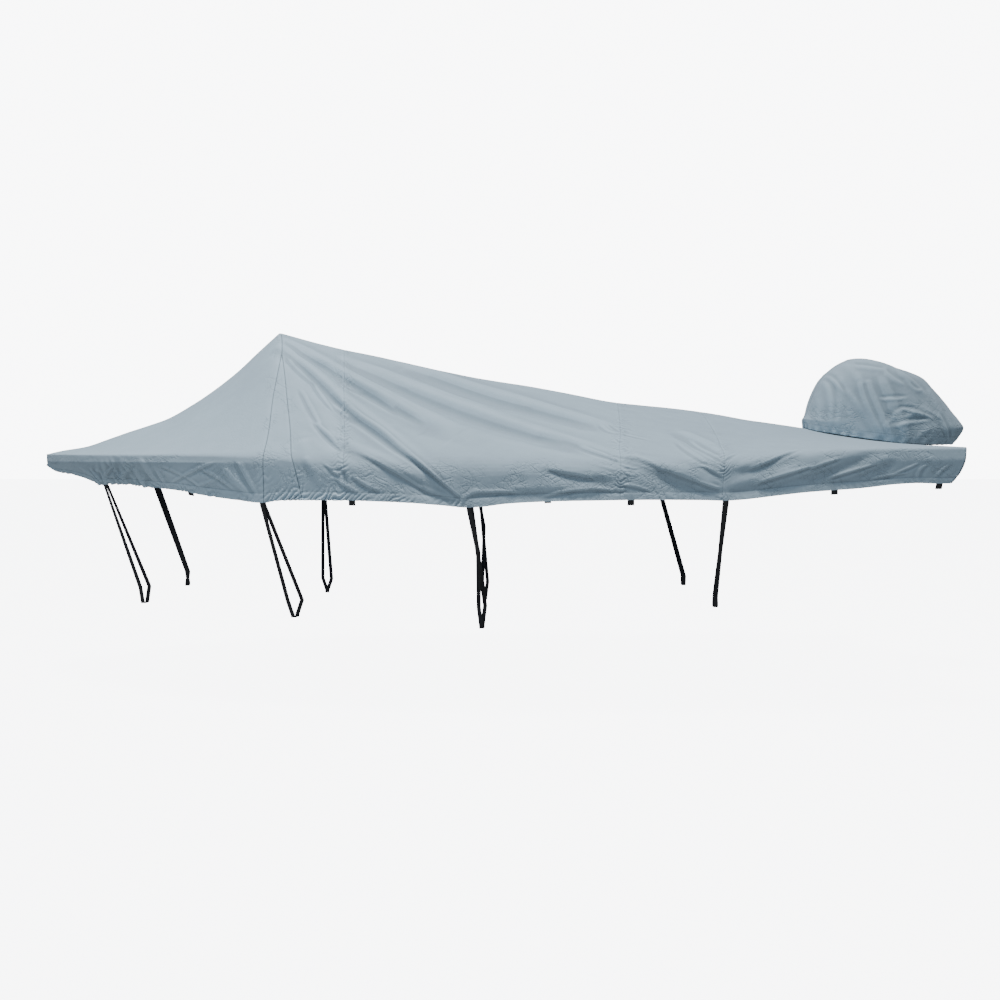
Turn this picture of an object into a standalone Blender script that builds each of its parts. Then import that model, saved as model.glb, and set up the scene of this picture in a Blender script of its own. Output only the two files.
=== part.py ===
"""Boat cover of sewn cloth panels, with a separate motor hood and tie-downs.

Metres, +Z up, +X towards the stern, port side at -Y. The origin is on the
centreline, at the underside of the cloth where it peaks. The sheets keep the
shape in which the cover hangs in use: a ridge that falls fore and aft from the
peak, sides that slope to a long edge, a flat band on that edge and a skirt
below it that leans inwards to the hem.
"""
import math

import bpy
import numpy as np

# ---------------------------------------------------------------- sizes
CLOTH = 0.002            # sheet thickness
SEAM_GAP = 0.0005        # half of the gap between two sewn panels
EDGE_V = 0.80            # share of the girth at which the side edge lies
BAND_SHARE = 0.28        # share of the skirt that the upright band takes
RIDGE_SOFT = 0.05        # softness of the ridge, as a share of the half beam
SWEEP = 0.20             # how far the crest runs aft from ridge to side edge
GIRTH = 1.32             # mean girth from ridge to hem, for fold widths
BOW_X = -1.477

WEB_T = 0.0016           # webbing thickness
STRAP_W = 0.025          # tie-down webbing width
LOOP_W = 0.036           # hem loop width
LOOP_GAP = 0.0032        # open space inside a hem loop
LOOP_RISE = 0.024        # loop behind the hem

# ridge height: x, z
RIDGE_FORE = [
    (-1.477, -0.757), (-1.390, -0.737), (-1.230, -0.710), (-1.070, -0.657),
    (-0.960, -0.619), (-0.830, -0.577), (-0.715, -0.537), (-0.556, -0.449),
    (-0.423, -0.361), (-0.267, -0.241), (-0.133, -0.117), (0.000, 0.002),
]
RIDGE_AFT = [
    (0.000, 0.002), (0.342, -0.089), (0.650, -0.154), (0.900, -0.210),
    (1.235, -0.279), (1.550, -0.329), (1.760, -0.367), (2.130, -0.436),
    (2.410, -0.463), (2.690, -0.499), (2.950, -0.543), (3.270, -0.591),
    (3.600, -0.644), (3.840, -0.682),
]

# sections: x, half beam, edge z, band height, slope power, edge softness
SECTIONS = [
    (-1.477, 0.000, -0.757, 0.036, 1.30, 0.004),
    (-1.455, 0.062, -0.758, 0.040, 1.30, 0.006),
    (-1.410, 0.128, -0.760, 0.044, 1.28, 0.009),
    (-1.340, 0.210, -0.761, 0.045, 1.25, 0.010),
    (-1.230, 0.316, -0.761, 0.045, 1.22, 0.011),
    (-1.050, 0.465, -0.762, 0.045, 1.20, 0.012),
    (-0.750, 0.655, -0.763, 0.045, 1.15, 0.013),
    (-0.350, 0.840, -0.763, 0.045, 1.12, 0.015),
    (0.050, 0.958, -0.767, 0.046, 1.22, 0.022),
    (0.600, 1.048, -0.780, 0.048, 1.12, 0.040),
    (1.200, 1.090, -0.792, 0.050, 1.02, 0.050),
    (2.000, 1.100, -0.790, 0.052, 0.96, 0.050),
    (2.700, 1.092, -0.768, 0.055, 0.90, 0.036),
    (3.250, 1.068, -0.731, 0.062, 0.74, 0.018),
    (3.840, 1.020, -0.725, 0.068, 0.46, 0.010),
]

# hem: x, inset from the half beam, z (it dips where a tie pulls on it)
HEM = [
    (-1.477, 0.000, -0.822), (-1.440, 0.012, -0.832), (-1.347, 0.050, -0.864),
    (-1.200, 0.085, -0.880), (-1.100, 0.100, -0.901), (-1.030, 0.108, -0.922),
    (-0.977, 0.112, -0.941), (-0.900, 0.112, -0.934), (-0.780, 0.112, -0.934),
    (-0.630, 0.110, -0.944), (-0.435, 0.100, -0.960), (-0.246, 0.084, -0.987),
    (-0.047, 0.064, -1.010), (0.100, 0.052, -1.024), (0.190, 0.048, -1.011),
    (0.340, 0.042, -1.007), (0.535, 0.036, -1.007), (0.860, 0.030, -1.016),
    (1.076, 0.028, -1.031), (1.200, 0.028, -1.042), (1.290, 0.028, -1.037),
    (1.410, 0.028, -1.022), (1.560, 0.028, -1.013), (1.810, 0.026, -1.006),
    (2.190, 0.026, -1.001), (2.450, 0.026, -1.003), (2.550, 0.026, -1.006),
    (2.640, 0.026, -1.001), (2.810, 0.026, -0.982), (2.990, 0.028, -0.962),
    (3.270, 0.030, -0.942), (3.480, 0.034, -0.920), (3.600, 0.036, -0.915),
    (3.710, 0.038, -0.918), (3.840, 0.046, -0.914),
]

# seams, as x at five shares of the girth: ridge 0, 0.23, 0.50, 0.75, hem 1
SEAM_V = (0.00, 0.23, 0.50, 0.75, 1.00)
SEAMS = {
    "stem": (-1.477, -1.477, -1.477, -1.477, -1.462),
    "gusset_fore": (0.000, 0.066, 0.090, 0.120, 0.108),
    "gusset_aft": (0.000, 0.066, 0.090, 0.120, 0.108),
    "fore": (0.400, 0.446, 0.500, 0.550, 0.562),
    "mid": (2.118, 2.092, 2.055, 2.012, 2.008),
    "aft": (2.640, 2.625, 2.596, 2.556, 2.540),
}

# rear edge of the cloth: v, x
STERN_EDGE = [(0.00, 3.837), (0.40, 3.837), (0.80, 3.837), (0.86, 3.832), (0.93, 3.817),
              (1.00, 3.772)]

# width of the gusset that opens below the peak: v, width
GUSSET_TOP = 0.23
GUSSET = [(0.23, 0.000), (0.50, 0.080), (0.75, 0.140), (1.00, 0.218)]

# panels: name, seam before, seam after, number of columns
PANELS = [
    ("bow_panel", "stem", "gusset_fore", 19),
    ("fore_panel", "gusset_aft", "fore", 6),
    ("mid_panel", "fore", "mid", 18),
    ("aft_panel", "mid", "aft", 7),
    ("stern_panel", "aft", "stern", 14),
]

# girth rows of a half section
ROWS = [0.0, 0.05, 0.11, 0.175, 0.24, 0.305, 0.37, 0.435, 0.50, 0.565, 0.63, 0.69,
        0.745, 0.79, 0.83, 0.872, 0.914, 0.957, 1.0]

# folds: x, v at the start, middle and end; width there; rise; step
# A rise is a soft ridge. A step lifts the upper side and sinks the lower one.
PORT_FOLDS = [
    (0.04, 0.17, 0.72, 0.660, 1.19, 0.985, 0.045, 0.075, 0.035, 0.000, 0.021),
    (0.38, 0.66, 0.78, 0.840, 1.16, 0.980, 0.035, 0.060, 0.035, 0.000, 0.015),
    (0.04, 0.12, 0.60, 0.370, 1.14, 0.630, 0.035, 0.080, 0.090, 0.000, 0.019),
    (0.45, 0.19, 1.22, 0.440, 1.98, 0.770, 0.060, 0.095, 0.060, 0.000, 0.021),
    (2.00, 0.76, 2.25, 0.870, 2.52, 0.960, 0.050, 0.060, 0.035, 0.000, 0.016),
    (0.80, 0.09, 1.40, 0.260, 2.05, 0.470, 0.070, 0.090, 0.070, 0.000, 0.019),
    (2.56, 0.95, 2.72, 0.930, 2.95, 0.890, 0.030, 0.045, 0.040, 0.000, 0.008),
    (2.60, 0.87, 2.77, 0.840, 2.97, 0.790, 0.035, 0.055, 0.050, 0.000, 0.009),
    (2.72, 0.95, 3.00, 0.905, 3.33, 0.825, 0.035, 0.055, 0.045, 0.000, 0.011),
    (3.08, 0.96, 3.25, 0.920, 3.45, 0.850, 0.035, 0.050, 0.040, 0.000, 0.009),
    (2.38, 0.43, 2.48, 0.630, 2.54, 0.790, 0.050, 0.055, 0.040, 0.000, 0.010),
    (1.38, 0.95, 1.64, 0.955, 1.93, 0.955, 0.030, 0.045, 0.035, 0.000, 0.008),
    (1.62, 0.84, 1.80, 0.875, 1.98, 0.905, 0.040, 0.045, 0.035, 0.000, 0.007),
    (0.32, 0.71, 0.37, 0.800, 0.47, 0.920, 0.035, 0.045, 0.035, 0.009, 0.000),
    (-0.55, 0.90, -0.20, 0.910, 0.06, 0.970, 0.040, 0.050, 0.035, 0.007, 0.000),
]
STARBOARD_FOLDS = [
    (0.05, 0.17, 0.66, 0.630, 1.18, 0.980, 0.045, 0.080, 0.035, 0.000, 0.019),
    (0.42, 0.64, 0.84, 0.860, 1.17, 0.980, 0.035, 0.055, 0.035, 0.000, 0.013),
    (0.05, 0.12, 0.66, 0.400, 1.24, 0.600, 0.035, 0.085, 0.090, 0.000, 0.018),
    (0.52, 0.20, 1.30, 0.470, 2.02, 0.800, 0.060, 0.090, 0.060, 0.000, 0.019),
    (2.00, 0.77, 2.28, 0.860, 2.53, 0.960, 0.050, 0.060, 0.035, 0.000, 0.014),
    (0.90, 0.10, 1.55, 0.300, 2.20, 0.520, 0.070, 0.090, 0.070, 0.000, 0.018),
    (2.57, 0.95, 2.80, 0.910, 3.12, 0.840, 0.035, 0.055, 0.040, 0.000, 0.010),
    (2.95, 0.95, 3.22, 0.900, 3.50, 0.830, 0.035, 0.050, 0.040, 0.000, 0.009),
    (-0.60, 0.89, -0.22, 0.910, 0.06, 0.970, 0.040, 0.055, 0.035, 0.007, 0.000),
]

# motor hood slices: height, front x, rear x, half width
HOOD = [
    (-0.702, 3.306, 4.210, 0.214), (-0.655, 3.298, 4.250, 0.228),
    (-0.596, 3.294, 4.280, 0.236), (-0.556, 3.300, 4.256, 0.238),
    (-0.500, 3.314, 4.208, 0.238), (-0.430, 3.334, 4.150, 0.234),
    (-0.350, 3.366, 4.080, 0.225), (-0.290, 3.402, 4.020, 0.210),
    (-0.250, 3.437, 3.940, 0.188), (-0.215, 3.478, 3.848, 0.158),
    (-0.185, 3.522, 3.770, 0.118), (-0.166, 3.560, 3.708, 0.070),
]
HOOD_TOP = (3.630, -0.157)
HOOD_POWER = 2.5         # roundness of a slice: 2 is an ellipse
HOOD_COLUMNS = 32
# rim of the hood, which lies on the cover: x, z on the centreline, z at the sides
HOOD_RIM = [
    (3.290, -0.587, -0.620), (3.400, -0.605, -0.635), (3.560, -0.631, -0.658),
    (3.750, -0.661, -0.682), (3.840, -0.675, -0.692), (4.020, -0.690, -0.700),
    (4.300, -0.702, -0.702),
]
RIM_POWER = 0.75         # the rim falls fastest beside the ridge

# folds of the hood, port then starboard: x, z of three points, widths, rise, step
HOOD_PORT_FOLDS = [
    (3.69, -0.28, 3.76, -0.470, 3.86, -0.680, 0.030, 0.034, 0.030, 0.011, 0.000),
    (3.56, -0.25, 3.62, -0.440, 3.76, -0.660, 0.030, 0.036, 0.030, 0.008, 0.000),
    (3.47, -0.27, 3.44, -0.430, 3.43, -0.600, 0.024, 0.028, 0.024, 0.007, 0.000),
    (3.82, -0.62, 3.91, -0.500, 4.10, -0.560, 0.024, 0.030, 0.024, 0.008, 0.000),
    (3.80, -0.22, 3.90, -0.300, 3.99, -0.400, 0.024, 0.030, 0.024, 0.000, 0.007),
]
HOOD_STARBOARD_FOLDS = [
    (3.66, -0.27, 3.74, -0.470, 3.84, -0.680, 0.030, 0.036, 0.030, 0.010, 0.000),
    (3.48, -0.28, 3.46, -0.430, 3.46, -0.600, 0.024, 0.028, 0.024, 0.007, 0.000),
    (3.86, -0.62, 3.96, -0.480, 4.10, -0.540, 0.024, 0.030, 0.024, 0.008, 0.000),
]

# transom panel: girth shares of its columns and rows, and its middle notch
TRANSOM_V = (0.0, 0.05, 0.10, 0.15, 0.195, 0.222, 0.234, 0.29, 0.36, 0.43, 0.50,
             0.57, 0.64, 0.71, 0.765, 0.80)
TRANSOM_ROWS = (0.80, 0.83, 0.872, 0.914, 0.957, 1.0)
NOTCH_V = 0.228
NOTCH_Z = -0.812

# hem loops: name, x, drop below the hem
LOOPS = [
    ("loop_1", -0.345, 0.026), ("loop_2", 0.595, 0.030), ("loop_3", 1.630, 0.011),
    ("loop_4", 2.065, 0.031), ("loop_5", 3.140, 0.026), ("loop_6", 3.715, 0.034),
]

# ties: name, x at the hem of the front and back strand, x of both at the bight,
# y of the bight's outer side, its top and bottom z, and a bend on the way down
TIES = [
    ("tie_1", -0.962, -0.944, -0.748, -0.716, -0.420, -1.543, -1.640, None),
    ("tie_2", 0.092, 0.104, 0.153, 0.223, -0.550, -1.607, -1.704, None),
    ("tie_3", 1.216, 1.230, 1.258, 1.294, -0.600, -1.633, -1.760,
     (1.264, -0.985, -1.286)),
    ("tie_4", 2.558, 2.568, 2.636, 2.640, -0.520, -1.583, -1.650, None),
]
BIGHT_W = 0.050          # width of the open bight at the lower end


# ------------------------------------------------------------- curves
def curve(table, column, x):
    """A smooth curve through one column of a table, without overshoot."""
    xs = np.array([row[0] for row in table])
    ys = np.array([row[column] for row in table])
    step = np.diff(ys) / np.diff(xs)
    inner = step[:-1] * step[1:]
    total = np.where(np.abs(step[:-1] + step[1:]) < 1e-9, 1.0, step[:-1] + step[1:])
    slope = np.empty_like(ys)
    slope[1:-1] = np.where(inner > 0, 2 * inner / total, 0.0)
    slope[0] = 1.5 * step[0] - 0.5 * slope[1]
    slope[-1] = 1.5 * step[-1] - 0.5 * slope[-2]
    x = np.clip(x, xs[0], xs[-1])
    k = np.clip(np.searchsorted(xs, x, side="right") - 1, 0, len(xs) - 2)
    h = xs[k + 1] - xs[k]
    t = (x - xs[k]) / h
    return (ys[k] * (1 + 2 * t) * (1 - t) ** 2 + slope[k] * h * t * (1 - t) ** 2
            + ys[k + 1] * t * t * (3 - 2 * t) + slope[k + 1] * h * t * t * (t - 1))


def ridge(x):
    """Height of the ridge, with a corner at the peak."""
    return np.where(x < 0, curve(RIDGE_FORE, 1, x), curve(RIDGE_AFT, 1, x))


def section_point(x, v):
    """y and z of the bare section at x, v shares of the girth from the ridge."""
    beam = curve(SECTIONS, 1, x)
    edge_z = curve(SECTIONS, 2, x)
    band = curve(SECTIONS, 3, x)
    power = curve(SECTIONS, 4, x)
    g = np.clip(np.abs(v) / EDGE_V, 0, 1)
    crest = np.zeros_like(x)
    spread = 0.012 + 0.10 * g
    for share in (-1.0, -0.5, 0.0, 0.5, 1.0):
        crest = crest + ridge(x - SWEEP * g + share * spread) / 5
    crest = crest + (ridge(x) - crest) * np.exp(-(g / 0.06) ** 2)
    soft = np.sqrt(g * g + RIDGE_SOFT ** 2) - RIDGE_SOFT
    soft = soft / (math.sqrt(1 + RIDGE_SOFT ** 2) - RIDGE_SOFT)
    y = beam * g
    z = edge_z + np.maximum(crest - edge_z, 0) * (1 - soft ** power)
    w = (np.abs(v) - EDGE_V) / (1 - EDGE_V)
    on_band = np.clip(w / BAND_SHARE, 0, 1)
    below = np.maximum((w - BAND_SHARE) / (1 - BAND_SHARE), 0)
    hem_y = beam - curve(HEM, 1, x)
    hem_z = curve(HEM, 2, x)
    y = y + (hem_y - beam) * below
    z = z - band * on_band + (hem_z - edge_z + band) * below
    return y, z


def base(x, v):
    """The cover without folds: points for arrays of x and signed v."""
    soft = curve(SECTIONS, 5, x)
    near = np.clip((np.abs(v) / EDGE_V - 0.55) / 0.35, 0, 1)
    reach = soft * near * near * (3 - 2 * near)
    y = np.zeros_like(x)
    z = np.zeros_like(x)
    for share in np.linspace(-1, 1, 9):
        yy, zz = section_point(x, np.abs(v) + share * reach)
        y += yy / 9
        z += zz / 9
    return np.stack([x, np.where(v < 0, -y, y), z], -1)


def normal_of(surface, x, v):
    """Unit outward normals of a surface, from points 4 mm either side."""
    du = surface(x + 0.004, v) - surface(x - 0.004, v)
    dv = surface(x, v + 0.003) - surface(x, v - 0.003)
    n = np.cross(du, dv)
    size = np.linalg.norm(n, axis=-1, keepdims=True)
    return n / np.maximum(size, 1e-12)


def fold_height(a, folds):
    """Sum of the folds at flat positions a, each along a three-point curve."""
    total = np.zeros(a.shape[:-1])
    for x0, v0, x1, v1, x2, v2, w0, w1, w2, rise, step in folds:
        p0, p1, p2 = np.array([(x0, v0), (x1, v1), (x2, v2)])
        handle = 2 * p1 - 0.5 * (p0 + p2)
        best = np.full(total.shape, 1e9)
        side = np.zeros_like(total)
        along = np.zeros_like(total)
        ts = np.linspace(0, 1, 9)
        pts = [(1 - t) ** 2 * p0 + 2 * t * (1 - t) * handle + t * t * p2 for t in ts]
        for k in range(8):
            ab = pts[k + 1] - pts[k]
            ap = a - pts[k]
            t = np.clip((ap @ ab) / (ab @ ab), 0, 1)
            off = ap - t[..., None] * ab
            dist = np.hypot(off[..., 0], off[..., 1])
            cross = (ab[0] * ap[..., 1] - ab[1] * ap[..., 0]) / np.hypot(*ab)
            closer = dist < best
            best = np.where(closer, dist, best)
            side = np.where(closer, cross / np.maximum(dist, 1e-6), side)
            along = np.where(closer, ts[k] + t / 8, along)
        width = np.interp(along, (0, 0.5, 1), (w0, w1, w2))
        d = best / width
        fade = np.clip(np.minimum(along, 1 - along) * 6 + 0.2, 0, 1)
        fade = fade * width / max(w0, w1, w2)
        bell = np.exp(-d * d)
        total += fade * bell * (rise - 2.33 * step * np.clip(side, -1, 1) * d)
    return total


def on_girth(folds):
    """Fold rows with girth shares turned into metres down from the ridge."""
    scale = np.array([1, GIRTH, 1, GIRTH, 1, GIRTH, 1, 1, 1, 1, 1])
    return [tuple(np.array(row) * scale) for row in folds]


def cover(x, v):
    """The cover with its folds."""
    flat = np.stack([x, np.abs(v) * GIRTH], -1)
    port = fold_height(flat, on_girth(PORT_FOLDS))
    starboard = fold_height(flat, on_girth(STARBOARD_FOLDS))
    lift = np.where(v < 0, port, starboard) * np.clip(np.abs(v) / 0.06, 0, 1)
    return base(x, v) + normal_of(base, x, v) * lift[..., None]


# ------------------------------------------------------------- solids
def material(name, colour, rough):
    mat = bpy.data.materials.new(name)
    mat.use_nodes = True
    shader = mat.node_tree.nodes["Principled BSDF"]
    shader.inputs["Base Color"].default_value = (*colour, 1.0)
    shader.inputs["Roughness"].default_value = rough
    return mat


def add_object(name, verts, faces, colour, rough, smooth=True):
    mesh = bpy.data.meshes.new(name)
    mesh.from_pydata([tuple(p) for p in verts], [], faces)
    mesh.materials.append(material(name + "_surface", colour, rough))
    for poly in mesh.polygons:
        poly.use_smooth = smooth
    obj = bpy.data.objects.new(name, mesh)
    COLLECTION.objects.link(obj)
    return obj


def triangles(points, faces):
    """The faces with each quad cut along its shorter diagonal."""
    cut = []
    for face in faces:
        if len(face) == 4:
            a, b, c, d = face
            if np.linalg.norm(points[a] - points[c]) <= np.linalg.norm(points[b] - points[d]):
                cut += [(a, b, c), (a, c, d)]
            else:
                cut += [(a, b, d), (b, c, d)]
        else:
            cut.append(face)
    return cut


def sheet(name, outer, normals, faces, thickness=CLOTH):
    """A closed solid: the outer faces, the same faces inside, and the rim."""
    faces = triangles(outer, faces)
    inner = outer - normals * thickness
    n = len(outer)
    edges = {}
    for face in faces:
        for a, b in zip(face, face[1:] + face[:1]):
            edges[(a, b)] = edges.get((a, b), 0) + 1
    solid = list(faces)
    solid += [tuple(n + k for k in reversed(face)) for face in faces]
    for a, b in edges:
        if (b, a) not in edges:
            solid.append((b, a, n + a, n + b))
    return add_object(name, np.vstack([outer, inner]), solid, CLOTH_COLOUR, 0.85)


def grid_faces(rows, columns, index, wrap=False):
    """Quads of a grid; index gives the vertex of a row and column."""
    faces = []
    for i in range(rows - 1):
        for j in range(columns if wrap else columns - 1):
            k = (j + 1) % columns
            quad = (index[i][j], index[i + 1][j], index[i + 1][k], index[i][k])
            face = tuple(q for a, q in enumerate(quad) if q != quad[a - 1])
            if len(face) > 2:
                faces.append(face)
    return faces


def seam_x(name, v):
    """x of a seam at girth shares v."""
    if name == "stern":
        return curve(STERN_EDGE, 1, np.abs(v))
    x = curve(list(zip(SEAM_V, SEAMS[name])), 1, np.abs(v))
    if name == "gusset_aft":
        x = x + np.where(np.abs(v) > GUSSET_TOP, curve(GUSSET, 1, np.abs(v)), 0)
    return x


def panel(name, before, after, columns):
    """One cloth panel from hem over the ridge to hem, between two seams."""
    v = np.array([-r for r in reversed(ROWS[1:])] + ROWS)
    first = seam_x(before, v)
    last = seam_x(after, v)
    share = np.linspace(0, 1, columns + 1)
    if before == "stem":
        share = share ** 1.25
    x = first[None, :] + (last - first)[None, :] * share[:, None]
    vv = np.broadcast_to(v, x.shape).copy()
    normals = normal_of(cover, x, vv)
    if before != "stem":
        x[0] += SEAM_GAP
    x[-1] -= SEAM_GAP
    points = cover(x, vv)
    index = np.arange(x.size).reshape(x.shape)
    if before == "stem":
        points[0, :, 1] = 0.0
        on_top = np.abs(v) <= EDGE_V
        points[0, on_top] = (BOW_X, 0.0, RIDGE_FORE[0][1])
        normals[0] = (-1.0, 0.0, 0.0)
        middle = len(ROWS) - 1
        index[0, on_top] = index[0, middle]
        index[0, middle:] = index[0, middle::-1]
    HEM_LINES[-1].append((points[:, 0], points[:, 1], normals[:, 0]))
    HEM_LINES[1].append((points[:, -1], points[:, -2], normals[:, -1]))
    outer, faces = used_only(points.reshape(-1, 3), normals.reshape(-1, 3), index)
    return sheet(name, outer[0], outer[1], faces)


def used_only(points, normals, index, wrap=False):
    """Drop the vertices that no face uses, and number the rest in order."""
    faces = grid_faces(index.shape[0], index.shape[1], index.tolist(), wrap)
    used = sorted({k for face in faces for k in face})
    new = {old: k for k, old in enumerate(used)}
    faces = [tuple(new[k] for k in face) for face in faces]
    return (points[used], normals[used]), faces


def gusset(name, side):
    """The narrow wedge below the peak, from its point to the hem."""
    v = np.array([GUSSET_TOP + 0.045] + [r for r in ROWS if r > GUSSET_TOP + 0.06])
    first = seam_x("gusset_fore", v)
    last = seam_x("gusset_aft", v)
    x = first + (last - first) * np.linspace(0, 1, 4)[:, None]
    vv = np.broadcast_to(side * v, x.shape).copy()
    normals = normal_of(cover, x, vv)
    x[0] += SEAM_GAP
    x[-1] -= SEAM_GAP
    points = cover(x, vv)
    index = np.arange(x.size).reshape(x.shape)
    if side < 0:
        index = index[:, ::-1]
    outer, faces = used_only(points.reshape(-1, 3), normals.reshape(-1, 3), index)
    return sheet(name, outer[0], outer[1], faces)


def transom():
    """The panel across the stern, notched in the middle."""
    v = np.array([-q for q in reversed(TRANSOM_V[1:])] + list(TRANSOM_V))
    rows = np.array(TRANSOM_ROWS)
    top = cover(seam_x("stern", v), v)
    side = cover(seam_x("stern", rows), rows)
    share = (side[0, 2] - side[:, 2]) / (side[0, 2] - side[-1, 2])
    low = np.where(np.abs(v) < NOTCH_V, NOTCH_Z, side[-1, 2])
    points = np.zeros((len(rows), len(v), 3))
    points[..., 1] = top[:, 1] * (1 - 0.02 * share[:, None])
    points[..., 2] = top[:, 2] + (low - top[:, 2]) * share[:, None]
    lean = np.interp(points[..., 2], side[::-1, 2], side[::-1, 0])
    across = 1 - np.abs(v / EDGE_V) ** 4
    ripple = 0.010 + 0.006 * np.sin(31 * v + 4 * np.sign(v))
    points[..., 0] = lean + 0.0015 + CLOTH + across * ripple * np.sin(math.pi * share[:, None])
    for end, sign in ((0, -1), (-1, 1)):
        edge = cover(seam_x("stern", sign * rows), sign * rows)
        points[:, end, 1:] = edge[:, 1:]
    normals = np.zeros_like(points)
    normals[..., 0] = 1.0
    index = np.arange(points.size // 3).reshape(points.shape[:2])
    outer, faces = used_only(points.reshape(-1, 3), normals.reshape(-1, 3), index)
    return sheet("transom_panel", outer[0], outer[1], faces)


def hood_point(angle, height):
    """The bare hood: angle round it, height along the slice table."""
    front = curve(HOOD, 1, height)
    rear = curve(HOOD, 2, height)
    wide = curve(HOOD, 3, height)
    c, s = np.cos(angle), np.sin(angle)
    x = (front + rear) / 2 + (rear - front) / 2 * np.sign(c) * np.abs(c) ** (2 / HOOD_POWER)
    y = wide * np.sign(s) * np.abs(s) ** (2 / HOOD_POWER)
    low = HOOD[0][0]
    middle, side = curve(HOOD_RIM, 1, x), curve(HOOD_RIM, 2, x)
    rim = middle + (side - middle) * np.clip(np.abs(y) / HOOD[0][3], 0, 1) ** RIM_POWER
    near = np.clip(1 - (height - low) / 0.22, 0, 1)
    z = height + (rim - low) * near * near * (3 - 2 * near)
    return np.stack([x, y, z], -1)


def hood():
    """The motor hood: a closed dome, open below."""
    angle = np.arange(HOOD_COLUMNS) / HOOD_COLUMNS * 2 * math.pi
    a, h = np.meshgrid(angle, [row[0] for row in HOOD])
    bare = hood_point(a, h)
    du = hood_point(a + 0.02, h) - hood_point(a - 0.02, h)
    dv = hood_point(a, h + 0.003) - hood_point(a, h - 0.003)
    n = np.cross(du, dv)
    n /= np.maximum(np.linalg.norm(n, axis=-1, keepdims=True), 1e-12)
    flat = bare[..., ::2]
    port = fold_height(flat, HOOD_PORT_FOLDS)
    starboard = fold_height(flat, HOOD_STARBOARD_FOLDS)
    side = np.clip(np.abs(bare[..., 1]) / 0.12, 0, 1)
    lift = np.where(bare[..., 1] < 0, port, starboard) * side
    points = bare + n * lift[..., None]
    index = np.arange(a.size).reshape(a.shape)
    outer, faces = used_only(points.reshape(-1, 3), n.reshape(-1, 3), index, wrap=True)
    crown = np.vstack([outer[0], [(HOOD_TOP[0], 0.0, HOOD_TOP[1])]])
    normals = np.vstack([outer[1], [(0.0, 0.0, 1.0)]])
    faces = [face[::-1] for face in faces]
    last = index[-1].tolist()
    for j in range(HOOD_COLUMNS):
        faces.append((last[j], last[(j + 1) % HOOD_COLUMNS], len(crown) - 1))
    return sheet("motor_hood", crown, normals, faces)


def hem_frame(x, side):
    """Hem point, directions along, down and out of the cloth at x."""
    for hem, above, normals in HEM_LINES[side]:
        if hem[0, 0] <= x <= hem[-1, 0]:
            k = int(np.clip(np.searchsorted(hem[:, 0], x) - 1, 0, len(hem) - 2))
            t = (x - hem[k, 0]) / (hem[k + 1, 0] - hem[k, 0])
            along = hem[k + 1] - hem[k]
            along = along / np.linalg.norm(along)
            point = hem[k] * (1 - t) + hem[k + 1] * t
            down = point - (above[k] * (1 - t) + above[k + 1] * t)
            out = np.cross(along, down) * (1 if side < 0 else -1)
            out = -out / np.linalg.norm(out)
            down = np.cross(along, out)
            down = down * np.sign(-down[2])
            return point, along, down / np.linalg.norm(down), out
    raise ValueError("no hem at x = %.3f" % x)


def band(name, path, across, width, thick, closed=False):
    """Flat webbing along a path, its width along the given direction."""
    path = np.array(path)
    n = len(path)
    if closed:
        tangent = np.roll(path, -1, 0) - np.roll(path, 1, 0)
    else:
        tangent = np.gradient(path, axis=0)
    tangent /= np.linalg.norm(tangent, axis=1, keepdims=True)
    wide = np.broadcast_to(np.array(across, dtype=float), path.shape)
    wide = wide - (wide * tangent).sum(1, keepdims=True) * tangent
    wide = wide / np.linalg.norm(wide, axis=1, keepdims=True)
    up = np.cross(tangent, wide)
    corners = [(-1, -1), (1, -1), (1, 1), (-1, 1)]
    rings = [path + a * wide * width / 2 + b * up * thick / 2 for a, b in corners]
    verts = np.stack(rings, 1).reshape(-1, 3)
    faces = []
    for i in range(n if closed else n - 1):
        k = (i + 1) % n
        for c in range(4):
            d = (c + 1) % 4
            faces.append((4 * i + c, 4 * i + d, 4 * k + d, 4 * k + c))
    if not closed:
        faces.append((3, 2, 1, 0))
        faces.append((4 * n - 4, 4 * n - 3, 4 * n - 2, 4 * n - 1))
    return add_object(name, verts, faces, WEB_COLOUR, 0.7, smooth=False)


def more_rings(path, across, reach=0.14):
    """Extra points on long stretches, so that a twist is shared out."""
    points, turns = [path[0]], [across[0]]
    for k in range(1, len(path)):
        start, end = np.array(path[k - 1]), np.array(path[k])
        steps = max(1, math.ceil(np.linalg.norm(end - start) / reach))
        for t in np.arange(1, steps + 1) / steps:
            points.append(start * (1 - t) + end * t)
            turns.append(np.array(across[k - 1]) * (1 - t) + np.array(across[k]) * t)
    return points, turns


def loop(name, x, drop, side):
    """A flat ring of webbing sewn behind the hem, its lower end in sight."""
    point, along, down, out = hem_frame(x, side)
    middle = point - out * (CLOTH + 0.0009 + WEB_T + LOOP_GAP / 2)
    r = (LOOP_GAP + WEB_T) / 2
    path = []
    for turn in np.linspace(-90, 90, 5):
        c, s = math.cos(math.radians(turn)), math.sin(math.radians(turn))
        path.append(middle + down * (drop - r - WEB_T / 2 + r * c) + out * r * s)
    for turn in np.linspace(90, 270, 5):
        c, s = math.cos(math.radians(turn)), math.sin(math.radians(turn))
        path.append(middle + down * (r - LOOP_RISE + r * c) + out * r * s)
    return band(name, path, along, LOOP_W, WEB_T, closed=True)


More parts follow.
